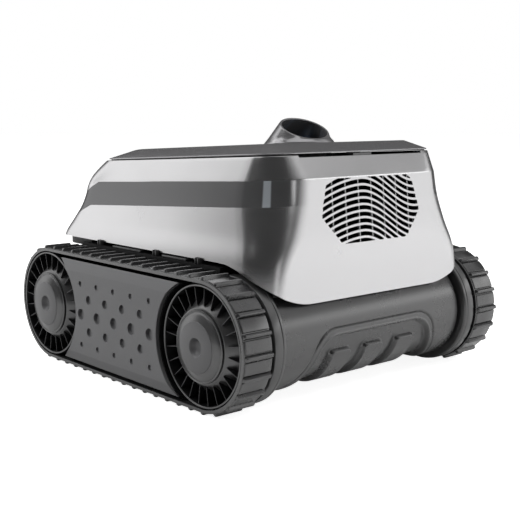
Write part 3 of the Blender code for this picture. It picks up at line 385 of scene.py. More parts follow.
def mix_colour(tree, factor, a, b):
    """Mix two colours, each a constant or a socket."""
    step = tree.nodes.new("ShaderNodeMix")
    step.data_type = "RGBA"
    tree.links.new(factor, step.inputs[0])
    for socket, colour in ((step.inputs[6], a), (step.inputs[7], b)):
        if isinstance(colour, tuple):
            socket.default_value = (*colour, 1.0)
        else:
            tree.links.new(colour, socket)
    return step.outputs[2]


def object_place(tree):
    return tree.nodes.new("ShaderNodeTexCoord").outputs["Object"]


def surface(name, colour, roughness, metallic=0.0, patches=0.06, patch_scale=22.0,
            grain=0.02, grain_scale=2600.0, spread=0.05, edge=0.0, coat=0.0, specular=0.5):
    """Moulded or painted surface: slow colour patches, fine grain, uneven gloss, edges lightened as
    wear and painted highlight.
    """
    mat = bpy.data.materials.new(name)
    mat.use_nodes = True
    tree = mat.node_tree
    shader = tree.nodes["Principled BSDF"]
    place = object_place(tree)
    slow = node(tree, "ShaderNodeTexNoise", Scale=patch_scale, Detail=4.0, Roughness=0.6)
    fine = node(tree, "ShaderNodeTexNoise", Scale=grain_scale, Detail=2.0, Roughness=0.55)
    for noise in (slow, fine):
        tree.links.new(place, noise.inputs["Vector"])
    dark = tuple(c * (1 - patches) for c in colour)
    light = tuple(c * (1 + patches) for c in colour)
    shade = mix_colour(tree, slow.outputs["Fac"], dark, light)
    if edge:
        geometry = tree.nodes.new("ShaderNodeNewGeometry")
        # Pointed edges are lightened: partly wear, partly a painted highlight
        wear_and_highlight = map_range(tree, geometry.outputs["Pointiness"], *WEAR_AND_HIGHLIGHT_RANGE, 0.0, edge)
        shade = mix_colour(tree, wear_and_highlight, shade, tuple(min(1.0, c * 1.5 + 0.08) for c in colour))
    tree.links.new(shade, shader.inputs["Base Color"])
    gloss = map_range(tree, slow.outputs["Fac"], *CLOUD_RANGE, roughness - spread, roughness + spread)
    tree.links.new(gloss, shader.inputs["Roughness"])
    bump = node(tree, "ShaderNodeBump", Strength=min(1.0, grain * 8), Distance=grain * MM)
    tree.links.new(fine.outputs["Fac"], bump.inputs["Height"])
    tree.links.new(bump.outputs["Normal"], shader.inputs["Normal"])
    shader.inputs["Metallic"].default_value = metallic
    shader.inputs["Coat Weight"].default_value = coat
    shader.inputs["Coat Roughness"].default_value = COAT_ROUGHNESS
    shader.inputs["Specular IOR Level"].default_value = specular
    return mat


def base_socket(mat):
    return mat.node_tree.nodes["Principled BSDF"].inputs["Base Color"]


def math_step(tree, operation, a, b=None):
    step = tree.nodes.new("ShaderNodeMath")
    step.operation = operation
    for socket, value in zip(step.inputs, (a, b)):
        if isinstance(value, float):
            socket.default_value = value
        elif value is not None:
            tree.links.new(value, socket)
    return step.outputs[0]


def band_paint():
    """Dark gloss band. At the hood's rear corners it has a pale streak, a painted reflection of a strip
    light, then turns to silver.
    """
    mat = surface("band_paint", BAND_GREY, 0.20, metallic=BAND_METAL, **PAINT)
    tree = mat.node_tree
    socket = base_socket(mat)
    dark = socket.links[0].from_socket
    split = tree.nodes.new("ShaderNodeSeparateXYZ")
    tree.links.new(object_place(tree), split.inputs[0])
    across = math_step(tree, "ABSOLUTE", split.outputs["X"])
    out = math_step(tree, "SUBTRACT", across, STRIPE[2] - STRIPE[5])
    back = math_step(tree, "SUBTRACT", STRIPE[5] - STRIPE[3], split.outputs["Y"])
    turn = math_step(tree, "ARCTAN2", out, back)

    def between(off, on):
        return map_range(tree, turn, math.radians(off), math.radians(on), 0.0, 1.0)

    rearward = map_range(tree, back, 0.0, 2 * MM, 0.0, 1.0)
    silver = math_step(tree, "MULTIPLY", between(*SILVER_ANGLES), rearward)
    # Painted reflection: a pale, non-metallic streak at fixed angles round each rear corner
    painted_reflection = math_step(tree, "MULTIPLY", between(*PAINTED_REFLECTION_START), between(*PAINTED_REFLECTION_END))
    painted_reflection = math_step(tree, "MULTIPLY", painted_reflection, rearward)
    with_painted_reflection = mix_colour(tree, painted_reflection, dark, PAINTED_REFLECTION_COLOUR)
    tree.links.new(mix_colour(tree, silver, with_painted_reflection, SILVER), socket)
    metal = map_range(tree, silver, 0.0, 1.0, BAND_METAL, 1.0)
    outside_painted_reflection = map_range(tree, painted_reflection, 0.0, 1.0, 1.0, 0.0)
    tree.links.new(math_step(tree, "MULTIPLY", metal, outside_painted_reflection),
                   tree.nodes["Principled BSDF"].inputs["Metallic"])
    return mat


def mesh_cloth():
    """Fine filter mesh: a crossed weave in colour."""
    mat = surface("filter_mesh", (0.22, 0.32, 0.38), 0.75, grain=0.05, patches=0.10)
    tree = mat.node_tree
    place = object_place(tree)
    cloth = base_socket(mat).links[0].from_socket
    for direction in ("X", "Z"):
        wave = node(tree, "ShaderNodeTexWave", Scale=260.0, Distortion=0.3)
        wave.bands_direction = direction
        tree.links.new(place, wave.inputs["Vector"])
        thread = map_range(tree, wave.outputs["Fac"], 0.35, 0.6, 0.0, 0.55)
        cloth = mix_colour(tree, thread, cloth, (0.05, 0.08, 0.10))
    tree.links.new(cloth, base_socket(mat))
    return mat


def cell_foam():
    """Closed-cell foam: small round cells."""
    mat = surface("cell_foam", (0.72, 0.72, 0.67), 0.9, grain=0.1, grain_scale=900.0)
    tree = mat.node_tree
    cells = node(tree, "ShaderNodeTexVoronoi", Scale=700.0)
    tree.links.new(object_place(tree), cells.inputs["Vector"])
    pits = map_range(tree, cells.outputs["Distance"], 0.1, 0.5, 0.0, 0.35)
    shade = mix_colour(tree, pits, base_socket(mat).links[0].from_socket, (0.55, 0.55, 0.50))
    tree.links.new(shade, base_socket(mat))
    return mat


LOOKS = {
    "silver_paint": dict(PAINT, colour=SILVER, roughness=0.26, metallic=1.0, patches=0.012),
    "lid_gloss": dict(PAINT, colour=(0.420, 0.415, 0.425), roughness=0.24, metallic=0.75,
                      patches=0.02),
    "dark_satin": dict(SATIN, colour=(0.055, 0.055, 0.056), roughness=0.30, specular=1.0, coat=0.5),
    "tube_satin": dict(SATIN, colour=(0.045, 0.045, 0.046), roughness=0.28, specular=1.0, coat=0.7),
    "hub_grey": dict(SATIN, colour=(0.150, 0.150, 0.154), roughness=0.36),
    # Lighter finish for the fins' thin edges: a painted highlight
    "fin_dark": dict(colour=(0.075, 0.075, 0.078), roughness=0.30, patches=0.05, grain=0.03),
    "cover_grain": dict(colour=(0.190, 0.190, 0.195), roughness=0.44, patches=0.03, grain=0.012,
                        grain_scale=1100.0, spread=0.03),
    "black_plastic": dict(colour=(0.006, 0.006, 0.0065), roughness=0.45, patches=0.10, grain=0.04),
    "track_rubber": dict(colour=(0.028, 0.028, 0.029), roughness=0.26, patches=0.06, grain=0.01,
                         grain_scale=1000.0, edge=0.06, specular=1.0, coat=0.6),
    "steel": dict(colour=(0.55, 0.55, 0.56), roughness=0.26, metallic=1.0, grain=0.02),
    "blue_rubber": dict(colour=(0.070, 0.160, 0.300), roughness=0.55, patches=0.10, grain=0.08,
                        edge=0.2),
}
FINISH = {name: surface(name, **look) for name, look in LOOKS.items()}
FINISH["band_paint"] = band_paint()
FINISH["foam"] = cell_foam()
FINISH["filter_fabric"] = mesh_cloth()


# ---------------- mesh helpers

MOST_REACH = 0.45  # the most of a side that a rounded corner may take


def skin(bm, rows, loop=False, capped=False, material=None):
    """Quads between rows of points. Each row closes on itself, and a loop of rows does too."""
    verts = [[bm.verts.new(p) for p in row] for row in rows]
    if loop:
        verts.append(verts[0])
    for k, (low, high) in enumerate(zip(verts, verts[1:])):
        for i in range(len(low)):
            j = (i + 1) % len(low)
            face = bm.faces.new([low[i], low[j], high[j], high[i]])
            if material is not None:
                face.material_index = material(k)
    if capped:
        bm.faces.new(list(reversed(verts[0])))
        bm.faces.new(verts[-1])
    return verts


def add_object(name, data):
    obj = bpy.data.objects.new(name, data)
    bpy.context.scene.collection.objects.link(obj)
    return obj


def to_object(name, bm, outward=True):
    if outward:
        bmesh.ops.recalc_face_normals(bm, faces=bm.faces)
    mesh = bpy.data.meshes.new(name)
    bm.to_mesh(mesh)
    bm.free()
    return add_object(name, mesh)


def skinned(name, rows, **settings):
    """A new object of one skin."""
    bm = bmesh.new()
    skin(bm, rows, **settings)
    return to_object(name, bm)


def turned(name, profile, y, side, **settings):
    """A new object turned about a wheel's axis."""
    bm = bmesh.new()
    lathe(bm, profile, y, side, **settings)
    return to_object(name, bm)


def choose_finish(obj, rule):
    """Give each polygon the number of its finish."""
    for polygon in obj.data.polygons:
        polygon.material_index = int(rule(polygon))


def modifier(obj, kind, **settings):
    step = obj.modifiers.new(kind.title(), kind)
    for name, value in settings.items():
        setattr(step, name, value)
    return step


def settle(obj):
    """Apply an object's modifiers to its mesh."""
    bpy.context.view_layer.update()
    graph = bpy.context.evaluated_depsgraph_get()
    mesh = bpy.data.meshes.new_from_object(obj.evaluated_get(graph))
    obj.modifiers.clear()
    obj.data = mesh
    return obj


def carve(obj, *cutters):
    """Cut each cutter out in turn, and remove it. The meshes are closed, as this solver needs."""
    for cutter in cutters:
        modifier(obj, "BOOLEAN", object=cutter, operation="DIFFERENCE", solver="MANIFOLD")
        settle(obj)
        bpy.data.objects.remove(cutter, do_unlink=True)
    return obj


def piece(obj, finishes, body, replaced=(), sharp=30.0):
    """Give a finished mesh its materials and its body, and hide the CAD nodes that it stands for."""
    if not any(obj.data.materials):
        obj.data.materials.clear()
        for finish in finishes:
            obj.data.materials.append(FINISH[finish])
    obj.data.shade_smooth()
    obj.data.set_sharp_from_angle(angle=math.radians(sharp))
    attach(obj, body)
    if replaced:
        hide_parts(*replaced)
    return obj


def front_softness(point):
    """Radius of the hood's and lid's upper edges: crisp at the rear, soft towards the front."""
    return EDGE_CRISP + EDGE_SOFTER * smoothstep(point.y / EDGE_SOFT_Y)


def soften(rows, radii, steps=3):
    """Round a polyline of rows at the inner rows that have a radius, with short curves. A radius
    is a number or a function of the point."""
    out = [rows[0]]
    for k in range(1, len(rows) - 1):
        radius = radii.get(k, 0.0)
        if not radius:
            out.append(rows[k])
            continue
        for s in range(steps + 1):
            t = s / steps
            ring = []
            for before, p, after in zip(rows[k - 1], rows[k], rows[k + 1]):
                reach = radius(p) if callable(radius) else radius
                a = p + (before - p).normalized() * min(reach, (before - p).length * MOST_REACH)
                b = p + (after - p).normalized() * min(reach, (after - p).length * MOST_REACH)
                ring.append(a * (1 - t) ** 2 + p * 2 * t * (1 - t) + b * t * t)
            out.append(ring)
    out.append(rows[-1])
    return out


def soften_profile(points, radius, steps=3):
    """Round the inner corners of a flat polyline."""
    rows = [[Vector((a, b, 0))] for a, b in points]
    rounded = soften(rows, {k: radius for k in range(1, len(points) - 1)}, steps)
    return [(row[0].x, row[0].y) for row in rounded]


def lathe(bm, profile, y, side, steps=96, closed=False):
    """Turn a profile of (radius, distance out along X) about a wheel's axis."""
    rows = []
    for radius, x in profile:
        row = []
        for i in range(steps):
            a = 2 * math.pi * i / steps
            row.append(Vector((x * side, y + radius * math.cos(a), AXLE_Z + radius * math.sin(a))))
        rows.append(row)
    first_flat = profile[0][0] < 1e-6
    last_flat = profile[-1][0] < 1e-6
    if first_flat:
        rows = rows[1:]
    if last_flat:
        rows = rows[:-1]
    verts = skin(bm, rows, loop=closed)
    for flat, row, x in ((first_flat, verts[0], profile[0][1]), (last_flat, verts[-1], profile[-1][1])):
        if flat:
            tip = bm.verts.new((x * side, y, AXLE_Z))
            for i in range(steps):
                bm.faces.new([row[i], row[(i + 1) % steps], tip])


def add_cone(bm, place, turn, radii, depth, segments):
    """A cone or cylinder along Z, turned by a matrix and then moved to its place."""
    bmesh.ops.create_cone(bm, cap_ends=True, segments=segments, radius1=radii[0],
                          radius2=radii[1], depth=depth, matrix=Matrix.Translation(place) @ turn)


def add_box(bm, low, high):
    size = [b - a for a, b in zip(low, high)]
    middle = [(a + b) / 2 for a, b in zip(low, high)]
    bmesh.ops.create_cube(bm, size=1, matrix=Matrix.Translation(middle) @ Matrix.Diagonal((*size, 1)))


def rounded_boxes(name, spans, radius):
    """One object of boxes with rounded edges, each given by its low and high corner."""
    bm = bmesh.new()
    for low, high in spans:
        add_box(bm, low, high)
    bmesh.ops.bevel(bm, geom=bm.edges, offset=radius, segments=3, profile=0.5, affect="EDGES")
    return to_object(name, bm)


def smoothstep(t):
    t = min(1.0, max(0.0, t))
    return t * t * (3 - 2 * t)


def smooth_min(a, b, k):
    h = max(k - abs(a - b), 0.0) / k
    return min(a, b) - h * h * k / 4


def side_name(side):
    return "right" if side > 0 else "left"


def wheel_corners():
    """Name, side and y of each of the four wheels."""
    for side in (-1, 1):
        for end, y in (("rear", -AXLE_Y), ("front", AXLE_Y)):
            yield f"{end}_{side_name(side)}", side, y


def axle_distance(polygon):
    return math.hypot(abs(polygon.center.y) - AXLE_Y, polygon.center.z - AXLE_Z)


# ---------------- hood

def arc(centre, radius, start, end, steps):
    angles = [math.radians(start + (end - start) * i / steps) for i in range(steps + 1)]
    return [(centre[0] + radius * math.cos(a), centre[1] + radius * math.sin(a)) for a in angles]


def plan(level):
    """Plan outline of a level, anticlockwise from the rear centre, at the level's height."""
    z0, rise, half, rear, front, rear_radius, front_radius = level
    rear_steps, corner_steps, side_steps, front_steps = OUTLINE_STEPS
    rear_corner = (half - rear_radius, rear_radius - rear)
    front_corner = (half - front_radius, front - front_radius)
    right = [(rear_corner[0] * i / rear_steps, -rear) for i in range(rear_steps)]
    right += arc(rear_corner, rear_radius, -90, 0, corner_steps)
    for i in range(1, side_steps):
        right.append((half, rear_corner[1] + (front_corner[1] - rear_corner[1]) * i / side_steps))
    right += arc(front_corner, front_radius, 0, 90, corner_steps)
    right += [(front_corner[0] * (1 - i / front_steps), front) for i in range(1, front_steps)]
    left = [(-x, y) for x, y in reversed(right[1:])]
    return [Vector((x, y, z0 + rise * y)) for x, y in right + [(0, front)] + left]


def perimeter_from_rear(outline):
    """Distance of each outline point from the rear centre, the shorter way round."""
    count = len(outline)
    steps = [(outline[(i + 1) % count] - outline[i]).length for i in range(count)]
    along = [sum(steps[:i]) for i in range(count)]
    return [min(s, sum(steps) - s) for s in along]


def on_column(column, z):
    """Point at height z on a smooth curve through a column of points, listed upwards."""
    slopes = []
    for k in range(len(column)):
        low = column[max(0, k - 1)]
        high = column[min(len(column) - 1, k + 1)]
        slopes.append((high - low) / (high.z - low.z))
    z = max(column[0].z, min(column[-1].z, z))
    for k in range(len(column) - 1):
        if z <= column[k + 1].z or k == len(column) - 2:
            span = column[k + 1].z - column[k].z
            t = (z - column[k].z) / span
            p = (column[k] * (2 * t ** 3 - 3 * t ** 2 + 1)
                 + slopes[k] * span * (t ** 3 - 2 * t ** 2 + t)
                 + column[k + 1] * (3 * t ** 2 - 2 * t ** 3)
                 + slopes[k + 1] * span * (t ** 3 - t ** 2))
            return Vector((p.x, p.y, z))


def hood_columns():
    """For each outline point: its column, lower edge, band's lower edge and crease heights."""
    levels = [plan(level) for level in (BASE, SILL, WAIST, STRIPE, CREASE)]
    distances = perimeter_from_rear(levels[1])
    corner_start = distances[sum(OUTLINE_STEPS[:3])]
    columns = []
    for i, distance in enumerate(distances):
        fall = smoothstep((distance - EDGE_FALL_END) / (EDGE_FALL_START - EDGE_FALL_END))
        edge = HOOD_EDGE_REAR + (HOOD_EDGE_SIDE - HOOD_EDGE_REAR) * fall
        dip = STRIPE_DIP * smoothstep((distance - corner_start + STRIPE_DIP_LEAD) / STRIPE_DIP_LENGTH)
        column = [level[i] for level in levels]
        columns.append((column, edge, column[3].z - dip, column[4].z - dip))
    return columns


def shoulder_row(crease, rim, share):
    """A row between crease and rim: flat at the sides and rear, full at the front corners."""
    aside, ahead, up = SHOULDER_LEAN
    row = []
    for low, high in zip(crease, rim):
        point = low.lerp(high, share)
        fullness = 4 * share * (1 - share) * smoothstep((point.y - SHOULDER_START) / SHOULDER_LENGTH)
        sideways = math.copysign(aside, point.x) * min(1.0, abs(point.x) / SHOULDER_MIDDLE)
        row.append(point + Vector((sideways, ahead, up)) * SHOULDER_BULGE * fullness)
    return row


def hood_cutters():
    """The lid's relief and hinge groove, the finger notch and the two holes in the right side."""
    groove = bmesh.new()
    turn = Matrix.Rotation(GROOVE_TILT, 4, "X") @ Matrix.Rotation(math.pi / 2, 4, "Y")
    add_cone(groove, (0, HINGE_Y, HINGE_Z), turn, (GROOVE_BORE, GROOVE_BORE), GROOVE_LENGTH, 30)
    holes = bmesh.new()
    for y, radius in HOLES:
        turn = Matrix.Rotation(HOLE_LEAN, 4, "Y")
        add_cone(holes, (HOLE_X, y, HOLE_Z), turn, (radius, radius), HOLE_DEPTH, 40)
    return (rounded_boxes("relief", [RELIEF], RELIEF_ROUND), to_object("groove", groove),
            rounded_boxes("notch", [NOTCH], NOTCH_ROUND), to_object("holes", holes))


def make_hood():
    """Silver shell with a dark band, a crisp crease, a flange and the grille's slots."""
    columns = hood_columns()
    rows = []
    for k in range(LOWER_STEPS):
        rows.append([on_column(c, edge + (band - edge) * k / LOWER_STEPS)
                     for c, edge, band, crease in columns])
    for k in range(BAND_STEPS + 1):
        rows.append([on_column(c, band + (crease - band) * k / BAND_STEPS)
                     for c, edge, band, crease in columns])
    crease_row = len(rows) - 1
    rim = plan(RIM)
    for step in range(1, SHOULDER_STEPS):
        rows.append(shoulder_row(rows[crease_row], rim, step / SHOULDER_STEPS))
    rim_row = len(rows)
    rows.append(rim)
    rows.append(plan(FLANGE))
    rounded = soften(rows, {crease_row: front_softness, rim_row: RIM_ROUND})
    bm = bmesh.new()

    def finish_of(k):
        # Rim and flange rows take black plastic: painted shade of the gap under the lid
        if k >= len(rounded) - PAINTED_SHADE_ROWS:
            return 2
        return int(LOWER_STEPS <= k < crease_row + 1)

    skin(bm, rounded, material=finish_of)
    hood = to_object("hood_shell", bm, outward=False)
    finishes = ("silver_paint", "band_paint", "black_plastic")
    for finish in finishes:
        hood.data.materials.append(FINISH[finish])
    modifier(hood, "SOLIDIFY", thickness=HOOD_WALL, offset=-1, use_even_offset=True)
    settle(hood)
    carve(hood, *hood_cutters(), grille_slots())
    piece(hood, finishes, "root", ("hood",))


def wave(x):
    """Height of the crested slat at x: a long fall to the right, a short one to the left."""
    crest_x, crest_z = WAVE_CREST
    if x > crest_x:
        turn = math.pi * (x - crest_x) / WAVE_LENGTH_RIGHT
        return crest_z - WAVE_FALL_RIGHT * (1 - math.cos(turn)) / 2
    return crest_z - WAVE_FALL_LEFT * ((crest_x - x) / WAVE_LENGTH_LEFT) ** WAVE_POWER_LEFT


def height_on(line, x):
    """Height of a polyline of (x, z) points at x."""
    for (x0, z0), (x1, z1) in zip(line, line[1:]):
        if x <= x1:
            return z0 + (z1 - z0) * (x - x0) / (x1 - x0)
    return line[-1][1]


def in_grille(x, depth, z):
    """A point of the grille's plane, with its depth measured out of the hood's rear face."""
    c, s = math.cos(GRILLE_TILT), math.sin(GRILLE_TILT)
    return Vector((x, GRILLE_Y - depth * c + z * s, GRILLE_Z + depth * s + z * c))


def grille_slots():
    """Cutters for the wavy slots, each clipped to the grille's outline."""
    bm = bmesh.new()
    start, end = SLOT_TOP[0][0], SLOT_TOP[-1][0]
    steps = round((end - start) / SLOT_STEP)
    xs = [start + (end - start) * i / steps for i in range(1, steps)]
    for row in SLOT_ROWS:
        run = []
        for x in xs + [None]:
            if x is not None:
                low = max(wave(x) + row * SLAT_PITCH + SLAT_HEIGHT / 2, height_on(SLOT_BOTTOM, x))
                high = min(wave(x) + (row + 1) * SLAT_PITCH - SLAT_HEIGHT / 2, height_on(SLOT_TOP, x))
                if high - low > SLOT_LEAST:
                    run.append((x, low, high))
                    continue
            if len(run) > 2:
                rings = [[in_grille(px, SLOT_DEPTH, lo), in_grille(px, SLOT_DEPTH, hi),
                          in_grille(px, -SLOT_DEPTH, hi), in_grille(px, -SLOT_DEPTH, lo)]
                         for px, lo, hi in run]
                skin(bm, rings, capped=True)
            run = []
    return to_object("slots", bm)


def make_vent_bars():
    """Thin upright bars just behind the slats."""
    back, shoulder, front = BAR_DEPTHS
    half = BAR_HALF
    ring = [(-half, back), (-half, shoulder), (-half * BAR_NOSE, front), (half * BAR_NOSE, front),
            (half, shoulder), (half, back)]
    bm = bmesh.new()
    for i in range(-(BARS // 2), BARS // 2 + 1):
        x = i * BAR_PITCH + BAR_SHIFT
        top = height_on(SLOT_TOP, x) + BAR_OVERRUN
        bottom = height_on(SLOT_BOTTOM, x) - BAR_OVERRUN
        skin(bm, [[in_grille(x + dx, d, z) for dx, d in ring] for z in (bottom, top)],
             capped=True)
    bars = to_object("vent_bars", bm)
    piece(bars, ("silver_paint",), "root", ("vent_grille",))


# ---------------- lid and nozzle

def make_lid():
    """Dark lid: softened chamfer all round, a flat top with the nozzle's hole, thin wall."""
    outer = [plan(level) for level in (LID_EDGE, LID_LIP, LID_TOP)]
    inner = [plan(level) for level in (LID_INNER_TOP, LID_INNER_EDGE)]
    count = len(outer[0])

    def hole(level, radius):
        ring = []
        for p in outer[2]:
            a = math.atan2(p.y - PUMP_Y, p.x)
            x, y = radius * math.cos(a), PUMP_Y + radius * math.sin(a)
            ring.append(Vector((x, y, level[0] + level[1] * y)))
        return ring

    def between(ring_a, ring_b, steps):
        return [[ring_a[i].lerp(ring_b[i], s / steps) for i in range(count)]
                for s in range(1, steps)]

    top_hole = hole(LID_TOP, NOZZLE_OPENING)
    low_hole = hole(LID_INNER_TOP, NOZZLE_OPENING)
    front = soften(outer + [top_hole], {1: LID_LIP_ROUND, 2: front_softness})
    rows = front[:-1] + between(outer[2], top_hole, 4)[1:] + [top_hole, low_hole]
    rows += between(low_hole, inner[0], 3) + inner
    lid = skinned("lid_shell", rows, loop=True)
    knuckle = bmesh.new()
    for side in (-1, 1):
        middle = side * KNUCKLE_X
        add_box(knuckle, (middle - KNUCKLE_HALF, *KNUCKLE_LOW), (middle + KNUCKLE_HALF, *KNUCKLE_HIGH))
    bmesh.ops.bevel(knuckle, geom=knuckle.edges, offset=KNUCKLE_ROUND, segments=2, affect="EDGES")
    piece(to_object("lid_knuckles", knuckle), ("dark_satin",), "lid")
    make_lid_seals()
    piece(lid, ("lid_gloss",), "lid", ("lid",))


def make_lid_seals():
    """A thin black seal under the lid's edge along each side and round each rear corner."""
    outline = plan(SEAL_OUTLINE)
    for side in (-1, 1):
        run = [p for p in outline if p.x * side > SEAL_NEAR_X and p.y < SEAL_FRONT_Y]
        run = sorted(run, key=lambda p: (p.y, -abs(p.x) if p.y > SEAL_CORNER_Y else abs(p.x)))
        rows = []
        for p in run:
            inward = (SEAL_MIDDLE - Vector((p.x, p.y, 0))).normalized() * SEAL_WIDTH
            low = Vector((p.x, p.y, p.z + SEAL_LOW))
            high = Vector((p.x, p.y, p.z + SEAL_HIGH))
            rows.append([low, high, high + inward, low + inward])
        seal = skinned(f"lid_seal_{side_name(side)}", rows, capped=True)
        piece(seal, ("black_plastic",), "lid")


def make_nozzle():
    """A leaning oval tube: flared foot, thin wall, oblique mouth with a rounded lip."""
    mouth_y = MOUTH_HALF_Y * math.cos(MOUTH_TILT)

    def ring(half_x, half_y, centre_y, height_at):
        points = []
        for i in range(NOZZLE_SIDES):
            a = 2 * math.pi * i / NOZZLE_SIDES
            y = centre_y + half_y * math.sin(a)
            points.append(Vector((half_x * math.cos(a), y, height_at(y))))
        return points

    def above_lid(rise):
        return lambda y: LID_TOP[0] + LID_TOP[1] * y + rise

    def mouth(y):
        return MOUTH_Z + (y - MOUTH_Y) * math.tan(MOUTH_TILT)

    def foot(inset_x, inset_y, rise):
        return ring(FOOT_HALF_X - inset_x, FOOT_HALF_Y - inset_y, FOOT_Y, above_lid(rise))

    skirt = NOZZLE_OPENING - NOZZLE_GAP
    rows = [
        ring(skirt - LID_WALL, skirt - LID_WALL, PUMP_Y, above_lid(NOZZLE_DROP)),
        ring(skirt, skirt, PUMP_Y, above_lid(NOZZLE_DROP)),
        ring(skirt, skirt, PUMP_Y, above_lid(FOOT_RISE)),
        *[foot(*row) for row in FOOT_ROWS],
        ring(MOUTH_HALF_X, mouth_y, MOUTH_Y, mouth),
        ring(MOUTH_HALF_X - LID_WALL, mouth_y - LID_WALL, MOUTH_Y, mouth),
        foot(*FOOT_INNER),
    ]
    nozzle = skinned("nozzle_shell", soften(rows, NOZZLE_ROUNDS, 4), loop=True)
    piece(nozzle, ("lid_gloss",), "lid", ("outlet_nozzle",))


# ---------------- rear tube

ALONG = math.radians(1) * TUBE_RADIUS  # length of one degree on the tube's surface


def grip_distance(x, degrees):
    """How far inside the grip moulding's outline a point of the tube lies, in metres."""
    sides = GRIP_HALF - GRIP_SPREAD * (degrees - GRIP_START) - abs(x)
    ends = min((GRIP_TOP - degrees) * ALONG, (degrees - GRIP_BOTTOM) * ALONG)
    return smooth_min(sides, ends, GRIP_ROUND)


def grip_radius(x, degrees):
    """Radius of the tube's surface: seam, recess and the three finger pads."""
    inside = grip_distance(x, degrees)
    seam = SEAM_DEPTH * math.exp(-(inside / SEAM_WIDTH) ** 2)
    depth = RECESS_DEPTH * smoothstep((inside - RECESS_INSET) / RECESS_WALL)
    lip = LIP_HEIGHT * math.exp(-((inside - RECESS_INSET + LIP_OFFSET) / LIP_WIDTH) ** 2)
    raised = 0.0
    for centre in PAD_CENTRES:
        pad = smooth_min(PAD_HALF - abs(x - centre), (PAD_TOP - degrees) * ALONG, PAD_ROUND)
        raised = max(raised, smoothstep(pad / PAD_WALL))
    return TUBE_RADIUS - TUBE_INSET - seam - depth + lip + raised * max(0.0, depth - PAD_SUNK)


def tube_point(x, degrees, radius):
    a = math.radians(degrees)
    return Vector((x, -AXLE_Y - radius * math.cos(a), AXLE_Z + radius * math.sin(a)))


def tube_angles():
    """Angles round the tube, downwards: fine over the grip moulding, coarse elsewhere."""
    angles = []
    a = GRIP_TOP + GRIP_MARGIN
    while a > GRIP_BOTTOM - GRIP_MARGIN:
        angles.append(a)
        a -= FINE_ANGLE
    while a > GRIP_TOP + GRIP_MARGIN - 360 + COARSE_ANGLE / 2:
        angles.append(a)
        a -= COARSE_ANGLE
    return angles


def make_rear_tube():
    """The barrel between the rear wheels and the grip moulding, parted along the seam."""
    angles = tube_angles()
    xs = [-TUBE_HALF + 2 * TUBE_HALF * i / TUBE_COLUMNS for i in range(TUBE_COLUMNS + 1)]
    for name, inner, replaced in (("tube_barrel", False, "rear_tube"),
                                  ("grip_moulding", True, "grip_panel")):
        bm = bmesh.new()
        verts = [[bm.verts.new(tube_point(x, d, grip_radius(x, d))) for x in xs] for d in angles]
        for j in range(len(angles)):
            k = (j + 1) % len(angles)
            for i in range(TUBE_COLUMNS):
                middle_x = (xs[i] + xs[i + 1]) / 2
                middle_a = angles[j] - FINE_ANGLE / 2
                if (grip_distance(middle_x, middle_a) > 0) == inner:
                    bm.faces.new([verts[j][i], verts[j][i + 1], verts[k][i + 1], verts[k][i]])
        loose = [v for v in bm.verts if not v.link_faces]
        bmesh.ops.delete(bm, geom=loose, context="VERTS")
        shell = to_object(name, bm, outward=False)
        outward = shell.data.polygons[0].normal
        centre = shell.data.polygons[0].center - Vector((0, -AXLE_Y, AXLE_Z))
        if outward.dot(Vector((0, centre.y, centre.z))) < 0:
            shell.data.flip_normals()
        modifier(shell, "SOLIDIFY", thickness=TUBE_WALL, offset=-1)
        settle(shell)
        piece(shell, ("tube_satin",), "root", (replaced,), sharp=TUBE_SHARP)


def make_end_rings():
    """Turned rings at the tube's and the brush's ends, with a chamfer and a fine groove."""
    profile = soften_profile(RING_PROFILE, TURNED_ROUND, 2)
    for tag, side, y in wheel_corners():
        ring = turned(f"wheel_ring_{tag}", profile, y, side, closed=True)
        piece(ring, ("dark_satin", "black_plastic"), "root", (f"end_ring_{tag}",))
        # Faces nearer the middle than the inner face, in the groove by the tube, are black: painted
        # shade
        choose_finish(ring, lambda polygon: abs(polygon.center.x) < RING_FACE_X)


# ---------------- tracks

def belt_point(distance, radius):
    """(y, z) on the belt's loop, from the distance along its neutral line, which starts above
    the rear axle and runs forward, and the radius that the point would have on a wheel."""
    neutral = LUGS * PITCH
    half_turn = (neutral - 2 * WHEELBASE) / 2
    distance %= neutral
    if distance < WHEELBASE:
        return (distance - AXLE_Y, AXLE_Z + radius)
    distance -= WHEELBASE
    if distance < half_turn:
        a = math.pi / 2 - math.pi * distance / half_turn
        return (AXLE_Y + radius * math.cos(a), AXLE_Z + radius * math.sin(a))
    distance -= half_turn
    if distance < WHEELBASE:
        return (AXLE_Y - distance, AXLE_Z - radius)
    distance -= WHEELBASE
    a = -math.pi / 2 - math.pi * distance / half_turn
    return (-AXLE_Y + radius * math.cos(a), AXLE_Z + radius * math.sin(a))


def make_belts():
    """Rubber belts: a rib, two grooves and a pad to each pitch, and a rim along one edge."""
    marks = [(s, h, 0.0) for s, h in RIB] + [(s, 0.0, h) for s, h in PAD]
    for side in (-1, 1):
        start = BELT_LOW.x if side > 0 else -BELT_HIGH.x
        rows = []
        for lug in range(LUGS):
            middle = (lug + LUG_PHASE) * PITCH
            for s, rib, pad in marks:
                row = []
                for across, edge, pad_share, rib_share in BELT_COLUMNS:
                    radius = GROOVE_RADIUS
                    radius += (PAD_RADIUS - GROOVE_RADIUS) * pad * pad_share
                    radius += (LUG_RADIUS - GROOVE_RADIUS) * rib * rib_share
                    radius = max(radius, GROOVE_RADIUS + (EDGE_RIM_RADIUS - GROOVE_RADIUS) * edge)
                    y, z = belt_point(middle + s, radius)
                    row.append(Vector((start + across, y, z)))
                for across in (BELT_WIDTH, 0.0):
                    y, z = belt_point(middle + s, BELT_BORE)
                    row.append(Vector((start + across, y, z)))
                rows.append(row)
        name = side_name(side)
        belt = skinned(f"belt_{name}", rows, loop=True)
        piece(belt, ("track_rubber",), "root", (f"track_belt_{name}",),
              sharp=BELT_SHARP)


